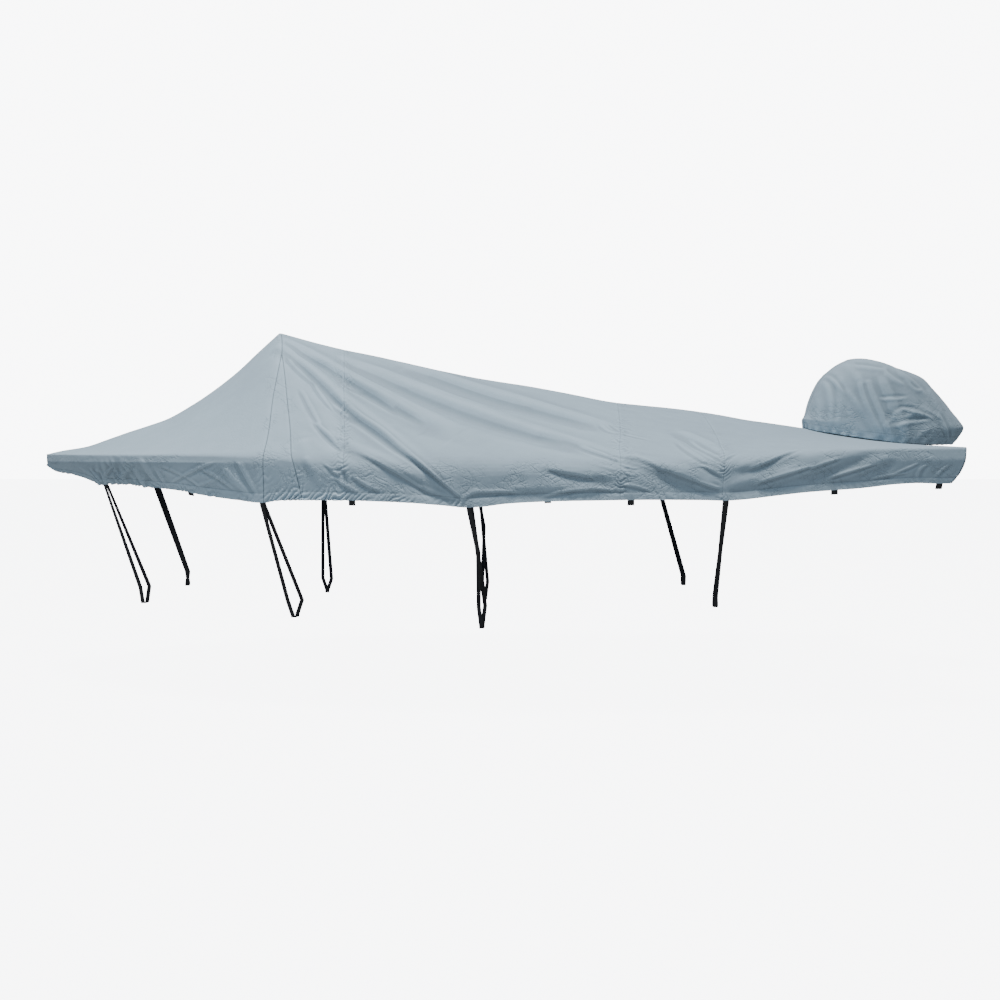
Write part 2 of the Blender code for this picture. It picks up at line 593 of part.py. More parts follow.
def tie(name, front_x, back_x, end_front, end_back, face_y, top_z, low_z, bend, side):
    """A tie-down: both strands sewn behind the hem, with an open bight below."""
    inner = side * (abs(face_y) - BIGHT_W - 0.004)
    outer = side * (abs(face_y) + 0.004)
    low_front = 0.6 * end_front + 0.4 * end_back
    low_back = 0.4 * end_front + 0.6 * end_back
    path = []
    across = []
    for x, depth, fore in ((back_x, 0.0070, False), (front_x, 0.0046, True)):
        point, along, down, out = hem_frame(x, side)
        base_point = point - out * (CLOTH + depth - WEB_T / 2)
        strand = [base_point - down * 0.020, base_point + down * 0.012]
        if fore:
            if bend is not None:
                strand.append(np.array([bend[0], side * abs(bend[1]), bend[2]]))
            strand.append(np.array([end_front, outer, top_z - 0.004]))
            strand.append(np.array([low_front, outer, low_z + 0.010]))
            strand.append(np.array([low_front, outer - side * 0.003, low_z + 0.001]))
            strand.append(np.array([low_front, outer - side * 0.011, low_z - 0.003]))
            path += strand[::-1]
            across += [(1.0, 0.0, 0.0)] * (len(strand) - 2) + [along] * 2
        else:
            strand.append(np.array([end_back, inner, top_z - 0.004]))
            strand.append(np.array([low_back, inner, low_z + 0.010]))
            strand.append(np.array([low_back, inner + side * 0.003, low_z + 0.001]))
            strand.append(np.array([low_back, inner + side * 0.011, low_z - 0.003]))
            path += strand
            across += [along] * 2 + [(1.0, 0.0, 0.0)] * (len(strand) - 2)
    path, across = more_rings(path, across)
    return band(name, path, across, STRAP_W, WEB_T)


for old in list(bpy.data.objects):
    bpy.data.objects.remove(old, do_unlink=True)
COLLECTION = bpy.data.collections.new("boat_cover")
bpy.context.scene.collection.children.link(COLLECTION)
CLOTH_COLOUR = (0.42, 0.50, 0.54)
WEB_COLOUR = (0.012, 0.012, 0.014)

HEM_LINES = {-1: [], 1: []}

for row in PANELS:
    panel(*row)
gusset("gusset_port", -1)
gusset("gusset_starboard", 1)
transom()
hood()
for side_name, side in (("port", -1), ("starboard", 1)):
    for name, x, drop in LOOPS:
        loop("%s_%s" % (name, side_name), x, drop, side)
    for name, *sizes in TIES:
        tie("%s_%s" % (name, side_name), *sizes, side)
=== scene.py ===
# %% [markdown]
# # A boat cover of sewn cloth panels
#
# The cover is one long shell of grey-blue polyester: five panels run from hem over the ridge to
# hem, two narrow gussets open below the peak, a panel closes the stern, and a hood stands behind.
# Black webbing loops and tie-downs hang from the hem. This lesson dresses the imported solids: each
# solid is replaced by a finer sheet that follows the same curves and adds the small creases.

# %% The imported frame
import math

import bmesh
import bpy
import numpy as np
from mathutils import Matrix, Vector


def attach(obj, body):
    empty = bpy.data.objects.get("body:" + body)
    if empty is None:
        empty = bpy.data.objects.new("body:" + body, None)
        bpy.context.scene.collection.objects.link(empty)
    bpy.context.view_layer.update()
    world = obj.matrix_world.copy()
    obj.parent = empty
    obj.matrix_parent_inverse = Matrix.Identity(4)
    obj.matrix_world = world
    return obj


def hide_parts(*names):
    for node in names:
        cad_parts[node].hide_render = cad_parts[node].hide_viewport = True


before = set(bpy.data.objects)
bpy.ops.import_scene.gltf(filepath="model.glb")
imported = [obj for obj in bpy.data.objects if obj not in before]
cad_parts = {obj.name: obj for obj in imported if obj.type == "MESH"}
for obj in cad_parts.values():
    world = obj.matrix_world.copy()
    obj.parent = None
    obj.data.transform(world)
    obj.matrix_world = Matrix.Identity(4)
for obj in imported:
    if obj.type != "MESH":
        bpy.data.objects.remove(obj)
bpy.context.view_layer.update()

# %% [markdown]
# ## Camera
# The picture is taken from the port side, a little aft of the peak, with a 35 mm lens whose
# height is level with the side edge. So the upper slopes show as a thin band of light and the
# skirt shows square on.

# %% Camera
CAMERA_PLACE = (1.38, -6.15, -0.785)
CAMERA_TURN = 87.55           # degrees up from straight down, so it looks 2.45 below level


def add_object(name, data):
    """A new object in the scene, at the origin."""
    thing = bpy.data.objects.new(name, data)
    bpy.context.scene.collection.objects.link(thing)
    return thing


camera_data = bpy.data.cameras.new("camera")
camera_data.lens = 35
camera_data.sensor_width = 36
camera_data.clip_end = 300
camera = add_object("camera", camera_data)
camera.location = CAMERA_PLACE
camera.rotation_euler = (math.radians(CAMERA_TURN), 0, 0)
bpy.context.scene.camera = camera
print("camera at", tuple(camera.location))

# %% [markdown]
# ## Light and floor
# The folds of the slopes run down and aft, so they only read under light from above. One lamp
# stands high over the cover, a little in front, and a bluish sky fills the shadows. The camera
# itself sees a whiter and brighter sky, which lights nothing.

# %% Light
KEY_AIM = (1.5, 0.0, -0.7)
KEY_TOWARDS = (-0.06, -0.33, 0.94)
KEY_DISTANCE = 14.0
KEY_SIZE = 2.2
KEY_POWER = 2500.0
KEY_COLOUR = (1.0, 0.985, 0.97)
SKY_COLOUR = (0.70, 0.85, 1.0, 1.0)
SKY_STRENGTH = 0.52
SEEN_COLOUR = (0.97, 0.98, 1.0, 1.0)
SEEN_SKY = 9.0                # how bright the sky looks to the camera

key_data = bpy.data.lights.new("key_lamp", "AREA")
key_data.size = KEY_SIZE
key_data.energy = KEY_POWER
key_data.color = KEY_COLOUR
key_lamp = add_object("key_lamp", key_data)
to_lamp = Vector(KEY_TOWARDS).normalized()
key_lamp.location = Vector(KEY_AIM) + to_lamp * KEY_DISTANCE
key_lamp.rotation_euler = to_lamp.to_track_quat("Z", "Y").to_euler()

world = bpy.data.worlds.new("studio")
bpy.context.scene.world = world
world.use_nodes = True
world_tree = world.node_tree
sky = world_tree.nodes["Background"]
sky.inputs["Color"].default_value = SKY_COLOUR
sky.inputs["Strength"].default_value = SKY_STRENGTH
backdrop = world_tree.nodes.new("ShaderNodeBackground")
backdrop.inputs["Color"].default_value = SEEN_COLOUR
backdrop.inputs["Strength"].default_value = SEEN_SKY
seen = world_tree.nodes.new("ShaderNodeLightPath")
choice = world_tree.nodes.new("ShaderNodeMixShader")
world_tree.links.new(seen.outputs["Is Camera Ray"], choice.inputs["Fac"])
world_tree.links.new(sky.outputs[0], choice.inputs[1])
world_tree.links.new(backdrop.outputs[0], choice.inputs[2])
world_tree.links.new(choice.outputs[0], world_tree.nodes["World Output"].inputs[0])
print("key lamp at", np.round(key_lamp.location, 2).tolist())

# %% [markdown]
# The floor lies as far below the cover as it would in use. It throws some light up under the
# skirt, and to the camera it glows almost as white as the sky, so that no horizon shows.

# %% Floor
FLOOR_Z = -2.20
FLOOR_HALF = 60.0             # half its side
FLOOR_BOUNCE = 0.30           # share of the light that the floor throws back
FLOOR_GLOW = 7.5              # how much brighter it looks to the camera

floor_mesh = bpy.data.meshes.new("floor")
floor_corners = [(a * FLOOR_HALF, b * FLOOR_HALF, FLOOR_Z)
                 for a, b in ((-1, -1), (1, -1), (1, 1), (-1, 1))]
floor_mesh.from_pydata(floor_corners, [], [(0, 1, 2, 3)])
floor = add_object("floor", floor_mesh)
floor_paint = bpy.data.materials.new("pale_floor")
floor_paint.use_nodes = True
floor_tree = floor_paint.node_tree
floor_shader = floor_tree.nodes["Principled BSDF"]
floor_shader.inputs["Base Color"].default_value = (*[FLOOR_BOUNCE] * 3, 1.0)
floor_shader.inputs["Roughness"].default_value = 0.9
floor_shader.inputs["Emission Color"].default_value = SEEN_COLOUR
floor_seen = floor_tree.nodes.new("ShaderNodeLightPath")
glow = floor_tree.nodes.new("ShaderNodeMath")
glow.operation = "MULTIPLY"
glow.inputs[1].default_value = FLOOR_GLOW
floor_tree.links.new(floor_seen.outputs["Is Camera Ray"], glow.inputs[0])
floor_tree.links.new(glow.outputs[0], floor_shader.inputs["Emission Strength"])
floor_mesh.materials.append(floor_paint)
print("floor at", FLOOR_Z)

# %% [markdown]
# ## The curves of the cover
# The sheets follow the same named curves as the solids: the ridge line, the half beam, the side
# edge, the band below it and the hem. A place on the cloth is given by x along the cover and by
# v, its share of the way from the ridge to the hem. So v is 0 on the ridge and 1 at the hem, and
# it is negative on the port side.

# %% Ridge, sections and hem
# ridge height: x, z
RIDGE_FORE = [
    (-1.477, -0.757), (-1.390, -0.737), (-1.230, -0.710), (-1.070, -0.657),
    (-0.960, -0.619), (-0.830, -0.577), (-0.715, -0.537), (-0.556, -0.449),
    (-0.423, -0.361), (-0.267, -0.241), (-0.133, -0.117), (0.000, 0.002),
]
RIDGE_AFT = [
    (0.000, 0.002), (0.342, -0.089), (0.650, -0.154), (0.900, -0.210),
    (1.235, -0.279), (1.550, -0.329), (1.760, -0.367), (2.130, -0.436),
    (2.410, -0.463), (2.690, -0.499), (2.950, -0.543), (3.270, -0.591),
    (3.600, -0.644), (3.840, -0.682),
]

# sections: x, half beam, edge z, band height, slope power, edge softness
SECTIONS = [
    (-1.477, 0.000, -0.757, 0.036, 1.30, 0.004),
    (-1.455, 0.062, -0.758, 0.040, 1.30, 0.006),
    (-1.410, 0.128, -0.760, 0.044, 1.28, 0.009),
    (-1.340, 0.210, -0.761, 0.045, 1.25, 0.010),
    (-1.230, 0.316, -0.761, 0.045, 1.22, 0.011),
    (-1.050, 0.465, -0.762, 0.045, 1.20, 0.012),
    (-0.750, 0.655, -0.763, 0.045, 1.15, 0.013),
    (-0.350, 0.840, -0.763, 0.045, 1.12, 0.015),
    (0.050, 0.958, -0.767, 0.046, 1.22, 0.022),
    (0.600, 1.048, -0.780, 0.048, 1.12, 0.040),
    (1.200, 1.090, -0.792, 0.050, 1.02, 0.050),
    (2.000, 1.100, -0.790, 0.052, 0.96, 0.050),
    (2.700, 1.092, -0.768, 0.055, 0.90, 0.036),
    (3.250, 1.068, -0.731, 0.062, 0.74, 0.018),
    (3.840, 1.020, -0.725, 0.068, 0.46, 0.010),
]

# hem: x, inset from the half beam, z
HEM = [
    (-1.477, 0.000, -0.822), (-1.440, 0.012, -0.832), (-1.347, 0.050, -0.864),
    (-1.200, 0.085, -0.880), (-1.100, 0.100, -0.901), (-1.030, 0.108, -0.922),
    (-0.977, 0.112, -0.941), (-0.900, 0.112, -0.934), (-0.780, 0.112, -0.934),
    (-0.630, 0.110, -0.944), (-0.435, 0.100, -0.960), (-0.246, 0.084, -0.987),
    (-0.047, 0.064, -1.010), (0.100, 0.052, -1.024), (0.190, 0.048, -1.011),
    (0.340, 0.042, -1.007), (0.535, 0.036, -1.007), (0.860, 0.030, -1.016),
    (1.076, 0.028, -1.031), (1.200, 0.028, -1.042), (1.290, 0.028, -1.037),
    (1.410, 0.028, -1.022), (1.560, 0.028, -1.013), (1.810, 0.026, -1.006),
    (2.190, 0.026, -1.001), (2.450, 0.026, -1.003), (2.550, 0.026, -1.006),
    (2.640, 0.026, -1.001), (2.810, 0.026, -0.982), (2.990, 0.028, -0.962),
    (3.270, 0.030, -0.942), (3.480, 0.034, -0.920), (3.600, 0.036, -0.915),
    (3.710, 0.038, -0.918), (3.840, 0.046, -0.914),
]
print("ridge points:", len(RIDGE_FORE + RIDGE_AFT), "sections:", len(SECTIONS), "hem points:",
      len(HEM))

# %% Seams
# x of each seam at five girth shares
SEAM_V = (0.00, 0.23, 0.50, 0.75, 1.00)
SEAMS = {
    "stem": (-1.477, -1.477, -1.477, -1.477, -1.462),
    "gusset_fore": (0.000, 0.066, 0.090, 0.120, 0.108),
    "gusset_aft": (0.000, 0.066, 0.090, 0.120, 0.108),
    "fore": (0.400, 0.446, 0.500, 0.550, 0.562),
    "mid": (2.118, 2.092, 2.055, 2.012, 2.008),
    "aft": (2.640, 2.625, 2.596, 2.556, 2.540),
}
# girth share, x
STERN_EDGE = [(0.00, 3.837), (0.40, 3.837), (0.80, 3.837), (0.86, 3.832), (0.93, 3.817),
              (1.00, 3.772)]
GUSSET_TOP = 0.23             # girth share of the gussets' upper point
# girth share, width of the gusset
GUSSET = [(0.23, 0.000), (0.50, 0.080), (0.75, 0.140), (1.00, 0.218)]
print("seams:", list(SEAMS))

# %% [markdown]
# Between the points of a table runs a smooth curve of cubic pieces. Its slope at a point is the
# harmonic mean of the slopes on both sides, so the curve never swings past the points.

# %% Smooth curve and window
def curve(table, column, x):
    """A smooth curve through one column: cubic pieces whose slopes are harmonic means."""
    xs = np.array([row[0] for row in table])
    ys = np.array([row[column] for row in table])
    step = np.diff(ys) / np.diff(xs)
    inner = step[:-1] * step[1:]
    total = np.where(np.abs(step[:-1] + step[1:]) < 1e-9, 1.0, step[:-1] + step[1:])
    slope = np.empty_like(ys)
    slope[1:-1] = np.where(inner > 0, 2 * inner / total, 0.0)
    slope[0] = 1.5 * step[0] - 0.5 * slope[1]
    slope[-1] = 1.5 * step[-1] - 0.5 * slope[-2]
    x = np.clip(x, xs[0], xs[-1])
    k = np.clip(np.searchsorted(xs, x, side="right") - 1, 0, len(xs) - 2)
    h = xs[k + 1] - xs[k]
    t = (x - xs[k]) / h
    return (ys[k] * (1 + 2 * t) * (1 - t) ** 2 + slope[k] * h * t * (1 - t) ** 2
            + ys[k + 1] * t * t * (3 - 2 * t) + slope[k + 1] * h * t * t * (t - 1))


def smooth(t):
    """t from 0 to 1, eased at both ends: three times its square less twice its cube."""
    return t * t * (3 - 2 * t)


def window(a, start, stop, soft):
    """1 between start and stop, falling smoothly to 0 over soft on either side."""
    up = np.clip((a - start) / soft + 0.5, 0, 1)
    down = np.clip((stop - a) / soft + 0.5, 0, 1)
    return smooth(up) * smooth(down)


print("half beam at 1.2 m:", float(curve(SECTIONS, 1, 1.2)))

# %% [markdown]
# A section is a slope from the ridge to the side edge, an upright band, and a skirt that leans in
# to the hem. Cloth makes no sharp corner over an edge, so a point of the bare surface is the mean
# of nine points of its section: spread wide where the cloth turns softly, and close together
# where it is pulled tight.

# %% Bare surface
EDGE_V = 0.80                 # girth share at the side edge
BAND_SHARE = 0.28             # share of the way from the edge to the hem that the band takes
RIDGE_SOFT = 0.05             # share of the slope over which the ridge is round
SWEEP = 0.20                  # the edge takes the ridge's height from this far before it
CREST_REACH = 0.012           # half the stretch of ridge that a point at the ridge averages
CREST_GROWTH = 0.10           # how much longer the half stretch is for a point at the edge
RIDGE_OWN = 0.06              # share of the slope on which the ridge keeps its own height
ROUND_FROM = 0.55             # share of the slope where the rounding of the edge sets in
ROUND_OVER = 0.35             # share over which it becomes full
EDGE_EASE = 0.55              # how much softer the sheet turns over the edge amidships
AMIDSHIPS = (0.3, 3.1, 0.6)   # x from, x to, fading over
BAND_CRISP = 0.8              # how much sharper the lower line of the band is at the bow
BAND_LINE = (0.838, 0.90, 0.02)   # girth share from, to, fading over
BOW_PART = (-2.0, 0.1, 0.5)   # x from, x to, fading over


def ridge(x):
    """Height of the ridge, with a corner at the peak."""
    return np.where(x < 0, curve(RIDGE_FORE, 1, x), curve(RIDGE_AFT, 1, x))


def section_point(x, v):
    """y and z of the bare section at x: a slope, an upright band, then a skirt that leans in.

    The slope falls from the crest to the edge by a power of its share g. The crest is the mean of
    five ridge heights round a place that lies further forward the nearer g is to the edge.
    """
    beam = curve(SECTIONS, 1, x)
    edge_z = curve(SECTIONS, 2, x)
    band = curve(SECTIONS, 3, x)
    power = curve(SECTIONS, 4, x)
    g = np.clip(np.abs(v) / EDGE_V, 0, 1)
    crest = np.zeros_like(x)
    spread = CREST_REACH + CREST_GROWTH * g
    for share in (-1.0, -0.5, 0.0, 0.5, 1.0):
        crest = crest + ridge(x - SWEEP * g + share * spread) / 5
    crest = crest + (ridge(x) - crest) * np.exp(-(g / RIDGE_OWN) ** 2)
    soft = np.sqrt(g * g + RIDGE_SOFT ** 2) - RIDGE_SOFT
    soft = soft / (math.sqrt(1 + RIDGE_SOFT ** 2) - RIDGE_SOFT)
    y = beam * g
    z = edge_z + np.maximum(crest - edge_z, 0) * (1 - soft ** power)
    w = (np.abs(v) - EDGE_V) / (1 - EDGE_V)
    on_band = np.clip(w / BAND_SHARE, 0, 1)
    below = np.maximum((w - BAND_SHARE) / (1 - BAND_SHARE), 0)
    hem_y = beam - curve(HEM, 1, x)
    hem_z = curve(HEM, 2, x)
    y = y + (hem_y - beam) * below
    z = z - band * on_band + (hem_z - edge_z + band) * below
    return y, z


def base(x, v):
    """The cover without folds: the mean of nine section points round v rounds the edge."""
    soft = curve(SECTIONS, 5, x) * (1 + EDGE_EASE * window(x, *AMIDSHIPS))
    near = np.clip((np.abs(v) / EDGE_V - ROUND_FROM) / ROUND_OVER, 0, 1)
    crisp = BAND_CRISP * window(np.abs(v), *BAND_LINE) * window(x, *BOW_PART)
    reach = soft * smooth(near) * (1 - crisp)
    y = np.zeros_like(x)
    z = np.zeros_like(x)
    for share in np.linspace(-1, 1, 9):
        yy, zz = section_point(x, np.abs(v) + share * reach)
        y += yy / 9
        z += zz / 9
    return np.stack([x, np.where(v < 0, -y, y), z], -1)


def seam_x(name, v):
    """x of a seam at girth shares v."""
    if name == "stern":
        return curve(STERN_EDGE, 1, np.abs(v))
    x = curve(list(zip(SEAM_V, SEAMS[name])), 1, np.abs(v))
    if name == "gusset_aft":
        x = x + np.where(np.abs(v) > GUSSET_TOP, curve(GUSSET, 1, np.abs(v)), 0)
    return x


print("ridge at the peak:", float(ridge(np.array([0.0]))[0]))

# %% [markdown]
# ## Folds
# A fold is a row of a table: three points on the flat cloth, a width at each, and a height. A
# rise is a soft ridge. A step lifts the cloth above the line and sinks it below, which is what a
# tight pull line does. A cloth simulation would make folds too, but somewhere else: placed one by
# one, they lie where the real cover has them.

# %% Main folds, as in the solids
# x, v of three points, widths there in metres, rise, step
PORT_FOLDS = [
    (0.04, 0.17, 0.72, 0.660, 1.19, 0.985, 0.045, 0.075, 0.035, 0.000, 0.021),
    (0.38, 0.66, 0.78, 0.840, 1.16, 0.980, 0.035, 0.060, 0.035, 0.000, 0.015),
    (0.04, 0.12, 0.60, 0.370, 1.14, 0.630, 0.035, 0.080, 0.090, 0.000, 0.019),
    (0.45, 0.19, 1.22, 0.440, 1.98, 0.770, 0.060, 0.095, 0.060, 0.000, 0.021),
    (2.00, 0.76, 2.25, 0.870, 2.52, 0.960, 0.050, 0.060, 0.035, 0.000, 0.016),
    (0.80, 0.09, 1.40, 0.260, 2.05, 0.470, 0.070, 0.090, 0.070, 0.000, 0.019),
    (2.56, 0.95, 2.72, 0.930, 2.95, 0.890, 0.030, 0.045, 0.040, 0.000, 0.008),
    (2.60, 0.87, 2.77, 0.840, 2.97, 0.790, 0.035, 0.055, 0.050, 0.000, 0.009),
    (2.72, 0.95, 3.00, 0.905, 3.33, 0.825, 0.035, 0.055, 0.045, 0.000, 0.011),
    (3.08, 0.96, 3.25, 0.920, 3.45, 0.850, 0.035, 0.050, 0.040, 0.000, 0.009),
    (2.38, 0.43, 2.48, 0.630, 2.54, 0.790, 0.050, 0.055, 0.040, 0.000, 0.010),
    (1.38, 0.95, 1.64, 0.955, 1.93, 0.955, 0.030, 0.045, 0.035, 0.000, 0.008),
    (1.62, 0.84, 1.80, 0.875, 1.98, 0.905, 0.040, 0.045, 0.035, 0.000, 0.007),
    (0.32, 0.71, 0.37, 0.800, 0.47, 0.920, 0.035, 0.045, 0.035, 0.009, 0.000),
    (-0.55, 0.90, -0.20, 0.910, 0.06, 0.970, 0.040, 0.050, 0.035, 0.007, 0.000),
]
STARBOARD_FOLDS = [
    (0.05, 0.17, 0.66, 0.630, 1.18, 0.980, 0.045, 0.080, 0.035, 0.000, 0.019),
    (0.42, 0.64, 0.84, 0.860, 1.17, 0.980, 0.035, 0.055, 0.035, 0.000, 0.013),
    (0.05, 0.12, 0.66, 0.400, 1.24, 0.600, 0.035, 0.085, 0.090, 0.000, 0.018),
    (0.52, 0.20, 1.30, 0.470, 2.02, 0.800, 0.060, 0.090, 0.060, 0.000, 0.019),
    (2.00, 0.77, 2.28, 0.860, 2.53, 0.960, 0.050, 0.060, 0.035, 0.000, 0.014),
    (0.90, 0.10, 1.55, 0.300, 2.20, 0.520, 0.070, 0.090, 0.070, 0.000, 0.018),
    (2.57, 0.95, 2.80, 0.910, 3.12, 0.840, 0.035, 0.055, 0.040, 0.000, 0.010),
    (2.95, 0.95, 3.22, 0.900, 3.50, 0.830, 0.035, 0.050, 0.040, 0.000, 0.009),
    (-0.60, 0.89, -0.22, 0.910, 0.06, 0.970, 0.040, 0.055, 0.035, 0.007, 0.000),
]


print("main folds:", len(PORT_FOLDS), "port,", len(STARBOARD_FOLDS), "starboard")

# %% Height of folds
GIRTH = 1.32                  # way from the ridge to the hem over the cloth, in metres
FOLD_PIECES = 8               # straight pieces that stand for the curve of a fold
FOLD_REACH = 3                # widths at which a fold has died out
FOLD_GROWTH = 6               # how fast a fold grows from its ends
FOLD_START = 0.2              # share of its height at the very ends
STEP_GAIN = 2.33              # makes the slope of the bell reach 1


def fold_height(a, b, folds):
    """Height of the folds at flat positions a, b. Each fold is a curve through three points; its
    profile across is a bell for a rise, and the bell's slope for a step, fading to both ends."""
    fa, fb = a.ravel(), b.ravel()
    total = np.zeros(fa.size)
    for a0, b0, a1, b1, a2, b2, w0, w1, w2, rise, step in folds:
        p0, p1, p2 = np.array([(a0, b0), (a1, b1), (a2, b2)])
        handle = 2 * p1 - 0.5 * (p0 + p2)
        ts = np.linspace(0, 1, FOLD_PIECES + 1)
        points = [(1 - t) ** 2 * p0 + 2 * t * (1 - t) * handle + t * t * p2 for t in ts]
        reach = FOLD_REACH * max(w0, w1, w2)
        low, high = np.min(points, 0) - reach, np.max(points, 0) + reach
        near = np.flatnonzero((fa > low[0]) & (fa < high[0]) & (fb > low[1]) & (fb < high[1]))
        if near.size == 0:
            continue
        here = np.stack([fa[near], fb[near]], -1)
        best = np.full(near.size, 1e9)
        side = np.zeros(near.size)
        along = np.zeros(near.size)
        for k in range(FOLD_PIECES):
            ab = points[k + 1] - points[k]
            ap = here - points[k]
            t = np.clip((ap @ ab) / (ab @ ab), 0, 1)
            off = ap - t[:, None] * ab
            dist = np.hypot(off[:, 0], off[:, 1])
            cross = (ab[0] * ap[:, 1] - ab[1] * ap[:, 0]) / np.hypot(*ab)
            closer = dist < best
            best = np.where(closer, dist, best)
            side = np.where(closer, cross / np.maximum(dist, 1e-6), side)
            along = np.where(closer, ts[k] + t / FOLD_PIECES, along)
        width = np.interp(along, (0, 0.5, 1), (w0, w1, w2))
        d = best / width
        fade = np.clip(np.minimum(along, 1 - along) * FOLD_GROWTH + FOLD_START, 0, 1)
        fade = fade * width / max(w0, w1, w2)
        bell = np.exp(-d * d)
        total[near] += fade * bell * (rise - STEP_GAIN * step * np.clip(side, -1, 1) * d)
    return total.reshape(a.shape)


def on_girth(folds):
    """Fold rows with girth shares turned into metres down from the ridge."""
    scale = np.array([1, GIRTH, 1, GIRTH, 1, GIRTH, 1, 1, 1, 1, 1])
    return [tuple(np.array(row) * scale) for row in folds]


print("deepest fold: %.3f m" % max(max(row[-2:]) for row in PORT_FOLDS))

# %% [markdown]
# The photographed side also has tight creases inside and between the main folds: pull lines that
# run to the tie-downs, puckers where a seam has shrunk, and short wrinkles above the hem. Each is
# placed one by one. The other side gets the same kind of creases with its own spacing.

# %% Pull lines down and aft to the third tie
# x, v at the start, bend and end, then width, rise and step in millimetres
TIE_PULLS = [
    (0.14, 0.25, 0.40, 0.43, 0.62, 0.59, 17, 0, 6.5),
    (0.50, 0.51, 0.80, 0.71, 1.10, 0.93, 14, 0, 8.0),
    (0.20, 0.20, 0.62, 0.38, 0.95, 0.54, 24, 0, 9.5),
    (0.70, 0.27, 1.22, 0.44, 1.70, 0.64, 30, 0, 9.5),
    (0.95, 0.13, 1.40, 0.26, 1.90, 0.42, 28, 0, 8.0),
    (0.45, 0.51, 0.70, 0.64, 0.85, 0.76, 15, 0, 6.5),
    (0.82, 0.73, 1.00, 0.86, 1.18, 0.97, 11, 0, 5.5),
    (0.62, 0.77, 0.80, 0.86, 0.96, 0.94, 14, 0, 5.0),
    (0.94, 0.93, 1.04, 0.96, 1.14, 0.97, 15, 0, 5.0),
    (0.36, 0.63, 0.44, 0.69, 0.54, 0.76, 12, 0, 8.5),
    (0.15, 0.19, 0.26, 0.23, 0.40, 0.26, 20, 0, 5.5),
    (0.48, 0.32, 0.65, 0.40, 0.80, 0.49, 18, 0, 6.5),
    (0.10, 0.26, 0.20, 0.33, 0.32, 0.40, 18, 0, 5.5),
    (0.24, 0.46, 0.32, 0.56, 0.40, 0.65, 15, 0, 5.5),
    (0.29, 0.38, 0.36, 0.46, 0.44, 0.53, 13, 0, 5.0),
    (1.18, 0.98, 1.24, 0.95, 1.30, 0.94, 14, 0, 3.5),
    (0.52, 0.92, 0.58, 0.95, 0.64, 0.97, 13, 0, 5.5),
    (0.60, 0.90, 0.68, 0.94, 0.76, 0.96, 13, 0, 5.0),
    (0.35, 0.80, 0.39, 0.87, 0.44, 0.94, 21, 6.0, 0),
]
print("pull lines:", len(TIE_PULLS))

# %% Upright gathers and slanting wrinkles in the skirt before the peak
BOW_SKIRT = [
    (-0.92, 0.98, -0.91, 0.92, -0.90, 0.86, 16, 5.0, 0),
    (-0.91, 0.94, -0.88, 0.92, -0.83, 0.88, 12, 0, 4.0),
    (-0.81, 0.98, -0.79, 0.93, -0.78, 0.88, 16, 5.0, 0),
    (-0.78, 0.97, -0.76, 0.93, -0.72, 0.88, 13, 4.0, 0),
    (-0.69, 0.89, -0.67, 0.93, -0.66, 0.98, 14, 5.0, 0),
    (-0.63, 0.82, -0.59, 0.90, -0.55, 0.96, 16, 5.5, 0),
    (-0.54, 0.90, -0.53, 0.94, -0.51, 0.97, 12, 0, 4.0),
    (-0.44, 0.96, -0.30, 0.90, -0.17, 0.86, 11, 0, 4.0),
    (-0.50, 0.88, -0.38, 0.92, -0.27, 0.97, 12, 0, 3.5),
    (-0.27, 0.88, -0.18, 0.91, -0.07, 0.96, 11, 0, 3.8),
    (-0.33, 0.97, -0.22, 0.94, -0.13, 0.91, 10, 2.5, 0),
    (-0.11, 0.87, -0.05, 0.92, 0.03, 0.97, 20, 6.0, 0),
    (-0.03, 0.85, 0.01, 0.91, 0.06, 0.97, 16, 0, 5.0),
    (-1.12, 0.90, -1.06, 0.94, -1.01, 0.97, 18, 4.0, 0),
]
print("creases in the bow's skirt:", len(BOW_SKIRT))

# %% Short creases on both sides of the seams
SEAM_CREASES = [
    (0.40, 0.44, 0.45, 0.47, 0.50, 0.51, 11, 0, 3.5),
    (0.43, 0.46, 0.50, 0.51, 0.57, 0.56, 11, 0, 4.8),
    (0.46, 0.51, 0.52, 0.55, 0.58, 0.58, 10, 0, 3.5),
    (0.41, 0.31, 0.46, 0.34, 0.52, 0.37, 10, 0, 3.5),
    (0.49, 0.35, 0.54, 0.37, 0.61, 0.39, 11, 0, 3.5),
    (0.51, 0.72, 0.54, 0.74, 0.57, 0.72, 9, 0, 3.5),
    (0.45, 0.84, 0.50, 0.88, 0.54, 0.90, 13, 0, 3.5),
    (0.54, 0.86, 0.57, 0.89, 0.58, 0.93, 13, 0, 3.5),
    (1.95, 0.43, 2.00, 0.49, 2.05, 0.50, 11, 0, 3.5),
    (2.01, 0.42, 2.04, 0.46, 2.08, 0.48, 9, 0, 3),
    (2.07, 0.51, 2.13, 0.54, 2.20, 0.57, 11, 0, 3.5),
    (1.89, 0.82, 1.94, 0.84, 2.00, 0.86, 11, 2.5, 0),
    (2.01, 0.82, 2.05, 0.84, 2.10, 0.85, 9, 0, 3.0),
    (2.01, 0.93, 2.08, 0.94, 2.16, 0.96, 10, 0, 3.5),
    (2.42, 0.84, 2.48, 0.87, 2.54, 0.90, 12, 0, 4.0),
    (2.54, 0.82, 2.57, 0.80, 2.61, 0.77, 9, 0, 3.0),
]
print("creases at the seams:", len(SEAM_CREASES))

